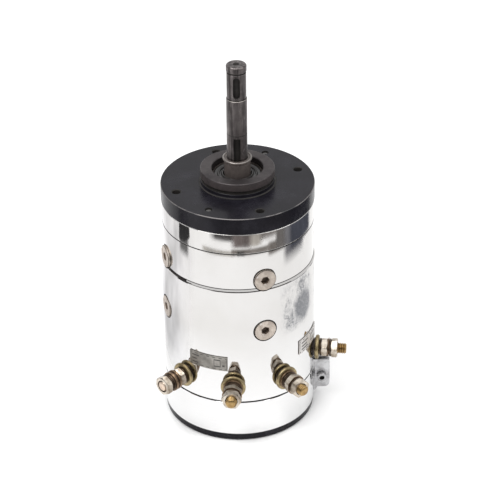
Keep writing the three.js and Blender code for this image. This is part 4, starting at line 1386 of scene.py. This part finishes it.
def dress(node_object, material, edge):
    """Gives a CAD node that stays on show its material and softened edges."""
    node_object.data.materials.clear()
    node_object.data.materials.append(M[material])
    bevel = node_object.modifiers.new("rounded_edges", "BEVEL")
    bevel.width = edge * MM
    bevel.segments = 2
    bevel.limit_method = "ANGLE"
    bevel.angle_limit = math.radians(40)


def ball_bearing(end, balls):
    inner_node, outer_node = f"{end}_bearing_inner_race", f"{end}_bearing_outer_race"
    bottom, top = low(inner_node).z, high(inner_node).z
    bore, outer = BEARING_RADII[end]
    wall = (outer - bore + GAP) * 0.3
    middle = (bore + outer) / 2
    size = (outer - bore) * 0.27
    centre = (bottom + top) / 2
    groove = size * 0.62
    inner_profile = [
        (bore, bottom),
        (bore + wall, bottom),
        (bore + wall, centre - groove),
        (middle - size * 0.97, centre, 0, 1.5),
        (bore + wall, centre + groove),
        (bore + wall, top),
        (bore, top),
    ]
    outer_profile = [
        (outer - wall, bottom),
        (outer, bottom),
        (outer, top),
        (outer - wall, top),
        (outer - wall, centre + groove),
        (middle + size * 0.97, centre, 0, 1.5),
        (outer - wall, centre - groove),
    ]
    ring = turned(f"{end}_inner_ring", inner_profile, ["bearing"], FINE, closed=True, radius=0.5)
    install(ring, "armature", "bearing_steel", inner_node)
    ring = turned(f"{end}_outer_ring", outer_profile, ["bearing"], FINE, closed=True, radius=0.5)
    install(ring, "housing", "bearing_steel", outer_node)
    ball_radius = size * 0.93
    spheres = []
    for k in range(balls):
        half_round = arc(ball_radius, -math.pi / 2, math.pi / 2, 16)
        half_round[0], half_round[-1] = (0, -ball_radius), (0, ball_radius)
        ball = turned("ball", half_round, ["ball"], 32, radius=0, sharp=60)
        place = spot_on_circle(middle, TAU * k / balls) @ Matrix.Translation((0, 0, centre * MM))
        spheres.append(moved(ball, place))
    whole = spheres[0]
    join_into(whole, *spheres[1:])
    whole.name = f"{end}_bearing_balls"
    install(whole, "armature", "bearing_steel")


# ------------------------------------------------------------------ build the motor
random.seed(7)
casing()
drive_ring()
flange()
rear_cap()
for number, place in enumerate(TIE_ROD_PLACES, 1):
    tie_rod(number, place)
cover_band()
clamp_fastener()
for number, azimuth in enumerate(POLES, 1):
    pole_shoe(number, azimuth)
    for place, height in SCREW_HEIGHTS.items():
        pole_screw(number, azimuth, place, height)
for name, azimuth in TERMINALS.items():
    terminal(name, azimuth)
label_plate("left", LEFT_MARKS)
label_plate("right", RIGHT_MARKS)
shaft()
collar()
seal()
field_coils()
armature_core()
armature_winding()
commutator()
brush_gear()
ball_bearing("rear", 8)
ball_bearing("drive", 10)


# ------------------------------------------------------------------ stage, light and camera
def stage_piece(name, vertices, faces, colour, shown=False, sector=None):
    """A piece of the studio; hidden ones are only seen in reflections. A sector's edges fade out."""
    mesh = bpy.data.meshes.new(name)
    mesh.from_pydata([Vector(v) * MM for v in vertices], [], faces)
    card = bpy.data.objects.new(name, mesh)
    bpy.context.scene.collection.objects.link(card)
    if colour is None:
        mesh.materials.append(M["floor"])
    else:
        s = Shader(name, specular=0.0)
        streaks = s.noise(5.0, detail=3.0)
        shade = tuple(0.6 * c for c in colour)
        s.link(s.mix(s.remap(streaks, 0.4, 0.65, 0.0, 1.0), colour, shade), "Base Color")
        if sector:
            start, end, near, far, soft_angle, soft_edge = sector
            turned_back = s.math("ARCTAN2", s.axis("X"), s.math("MULTIPLY", s.axis("Y"), -1.0))
            across = s.window(turned_back, start, end, soft_angle)
            outward = s.window(s.radius(), near * MM, far * MM, soft_edge * MM)
            s.link(s.math("MULTIPLY", across, outward), "Alpha")
        mesh.materials.append(s.material)
    card.visible_camera = shown
    card.visible_shadow = shown
    card.visible_diffuse = shown


def floor_card(name, x, y, colour, shown=False, height=0.5):
    corners = [(x[0], y[0], height), (x[1], y[0], height), (x[1], y[1], height), (x[0], y[1], height)]
    stage_piece(name, corners, [(0, 1, 2, 3)], colour, shown)


def floor_sector(name, azimuths, radii, softness, colour, height):
    """Part of a ring on the floor about the motor, fading out over some degrees and millimetres."""
    start, end = (math.radians(a) for a in azimuths)
    near, far = radii
    soft_angle, soft_edge = math.radians(softness[0]), softness[1]
    ends = (start - soft_angle, end + soft_angle)
    outline = ring_outline(near - soft_edge, far + soft_edge, *ends, 40)
    vertices = [(x, y, height) for x, y in outline]
    front = math.radians(270)
    sector = (start - front, end - front, near, far, soft_angle, soft_edge)
    stage_piece(name, vertices, [tuple(range(len(outline)))], colour, sector=sector)


def room_wall():
    """The dim room round the front and sides, lower in front where the lamps stand above it."""
    azimuths = (150, 185, 204, 218, 322, 336, 346)
    heights = (850, 850, 560, 440, 440, 400, 120)
    vertices = []
    for azimuth, height in zip(azimuths, heights):
        x, y = polar(ROOM_RADIUS, math.radians(azimuth))
        vertices += [(x, y, 1), (x, y, height)]
    faces = [(i, i + 2, i + 3, i + 1) for i in range(0, 2 * len(heights) - 2, 2)]
    stage_piece("room_wall", vertices, faces, (0.06, 0.055, 0.055))


# The room round the white sheet, as seen in the casing: azimuths in degrees, radii, how softly
# each ends and its colour. Later ones lie on top.
ROOM_FLOOR = (
    ("dull_sheet_left", (115, 178), (190, 420), (30, 70), (0.92, 0.92, 0.94)),
    ("dull_sheet_right", (20, 75), (290, 440), (12, 30), (0.75, 0.74, 0.75)),
    ("far_floor", (238, 298), (462, 700), (10, 8), (0.06, 0.055, 0.055)),
    ("far_floor_right", (298, 326), (462, 700), (6, 12), (0.22, 0.2, 0.19)),
    ("bench_front", (286, 298), (447, 470), (7, 5), (0.5, 0.47, 0.43)),
    ("stool", (266, 283), (445, 470), (8, 4), (0.17, 0.145, 0.14)),
    ("sheet_edge_left", (222, 262), (424, 432), (5, 4), (0.42, 0.4, 0.37)),
    ("sheet_edge_front", (262, 318), (425, 436), (3, 3), (0.2, 0.18, 0.165)),
    ("sheet_edge_right", (314, 342), (418, 438), (4, 8), (0.22, 0.2, 0.185)),
    ("foot", (269, 277), (423, 431), (2, 2), (0.03, 0.027, 0.025)),
    ("cabinet_front", (326, 350), (424, 700), (4, 8), (0.18, 0.17, 0.165)),
    ("cabinet_shadow", (342, 372), (396, 700), (8, 28), (0.19, 0.19, 0.205)),
    ("cabinet_side", (352, 392), (404, 700), (8, 14), (0.07, 0.075, 0.095)),
    ("left_shadow", (181, 193), (397, 440), (4, 18), (0.16, 0.16, 0.16)),
)


def studio():
    floor_card("floor", (-6000, 6000), (-6000, 6000), None, True, 0)
    floor_card("left_object", (-560, -408), (-135, 20), (0.04, 0.04, 0.042), height=6)
    for layer, (name, azimuths, radii, softness, colour) in enumerate(ROOM_FLOOR, 1):
        floor_sector(name, azimuths, radii, softness, colour, 0.3 * layer)
    room_wall()
    world = bpy.data.worlds.new("studio")
    bpy.context.scene.world = world
    world.use_nodes = True
    background = world.node_tree.nodes["Background"]
    background.inputs["Color"].default_value = (1.0, 1.0, 1.0, 1.0)
    background.inputs["Strength"].default_value = 1.0
    area_light("key", (-500, -500, 1500), (900, 900), 13.5)
    area_light("fill", (700, -300, 1400), (900, 900), 4.8)


def area_light(name, place, size, power):
    light = bpy.data.lights.new(name, "AREA")
    light.shape = "RECTANGLE"
    light.size, light.size_y = size[0] * MM, size[1] * MM
    light.energy = power
    lamp = bpy.data.objects.new(name, light)
    lamp.location = Vector(place) * MM
    aim = Vector((0, 0, 150)) * MM - lamp.location
    lamp.rotation_euler = aim.to_track_quat("-Z", "Y").to_euler()
    bpy.context.scene.collection.objects.link(lamp)


def camera():
    """A long lens that looks down on the motor's front from about 31 degrees."""
    elevation, roll, yaw = math.radians(31.35), math.radians(-0.481), math.radians(0.389)
    distance, aim = 1987.6, FLANGE_TOP - 79.33
    level, drop = math.cos(elevation), math.sin(elevation)
    forward = Vector((math.sin(yaw) * level, math.cos(yaw) * level, -drop))
    right = forward.cross(Vector((0, 0, 1))).normalized()
    up = right.cross(forward)
    tilted_right = math.cos(roll) * right + math.sin(roll) * up
    tilted_up = -math.sin(roll) * right + math.cos(roll) * up
    lens = bpy.data.cameras.new("camera")
    lens.lens = 144.47
    lens.sensor_width = 36.0
    lens.clip_end = 50.0
    eye = bpy.data.objects.new("camera", lens)
    turn = Matrix((tilted_right, tilted_up, -forward)).transposed().to_4x4()
    place = Vector((0, -distance * level, aim + distance * drop)) * MM
    eye.matrix_world = Matrix.Translation(place) @ turn
    bpy.context.scene.collection.objects.link(eye)
    bpy.context.scene.camera = eye


studio()
camera()
bpy.context.scene.view_settings.view_transform = "Standard"
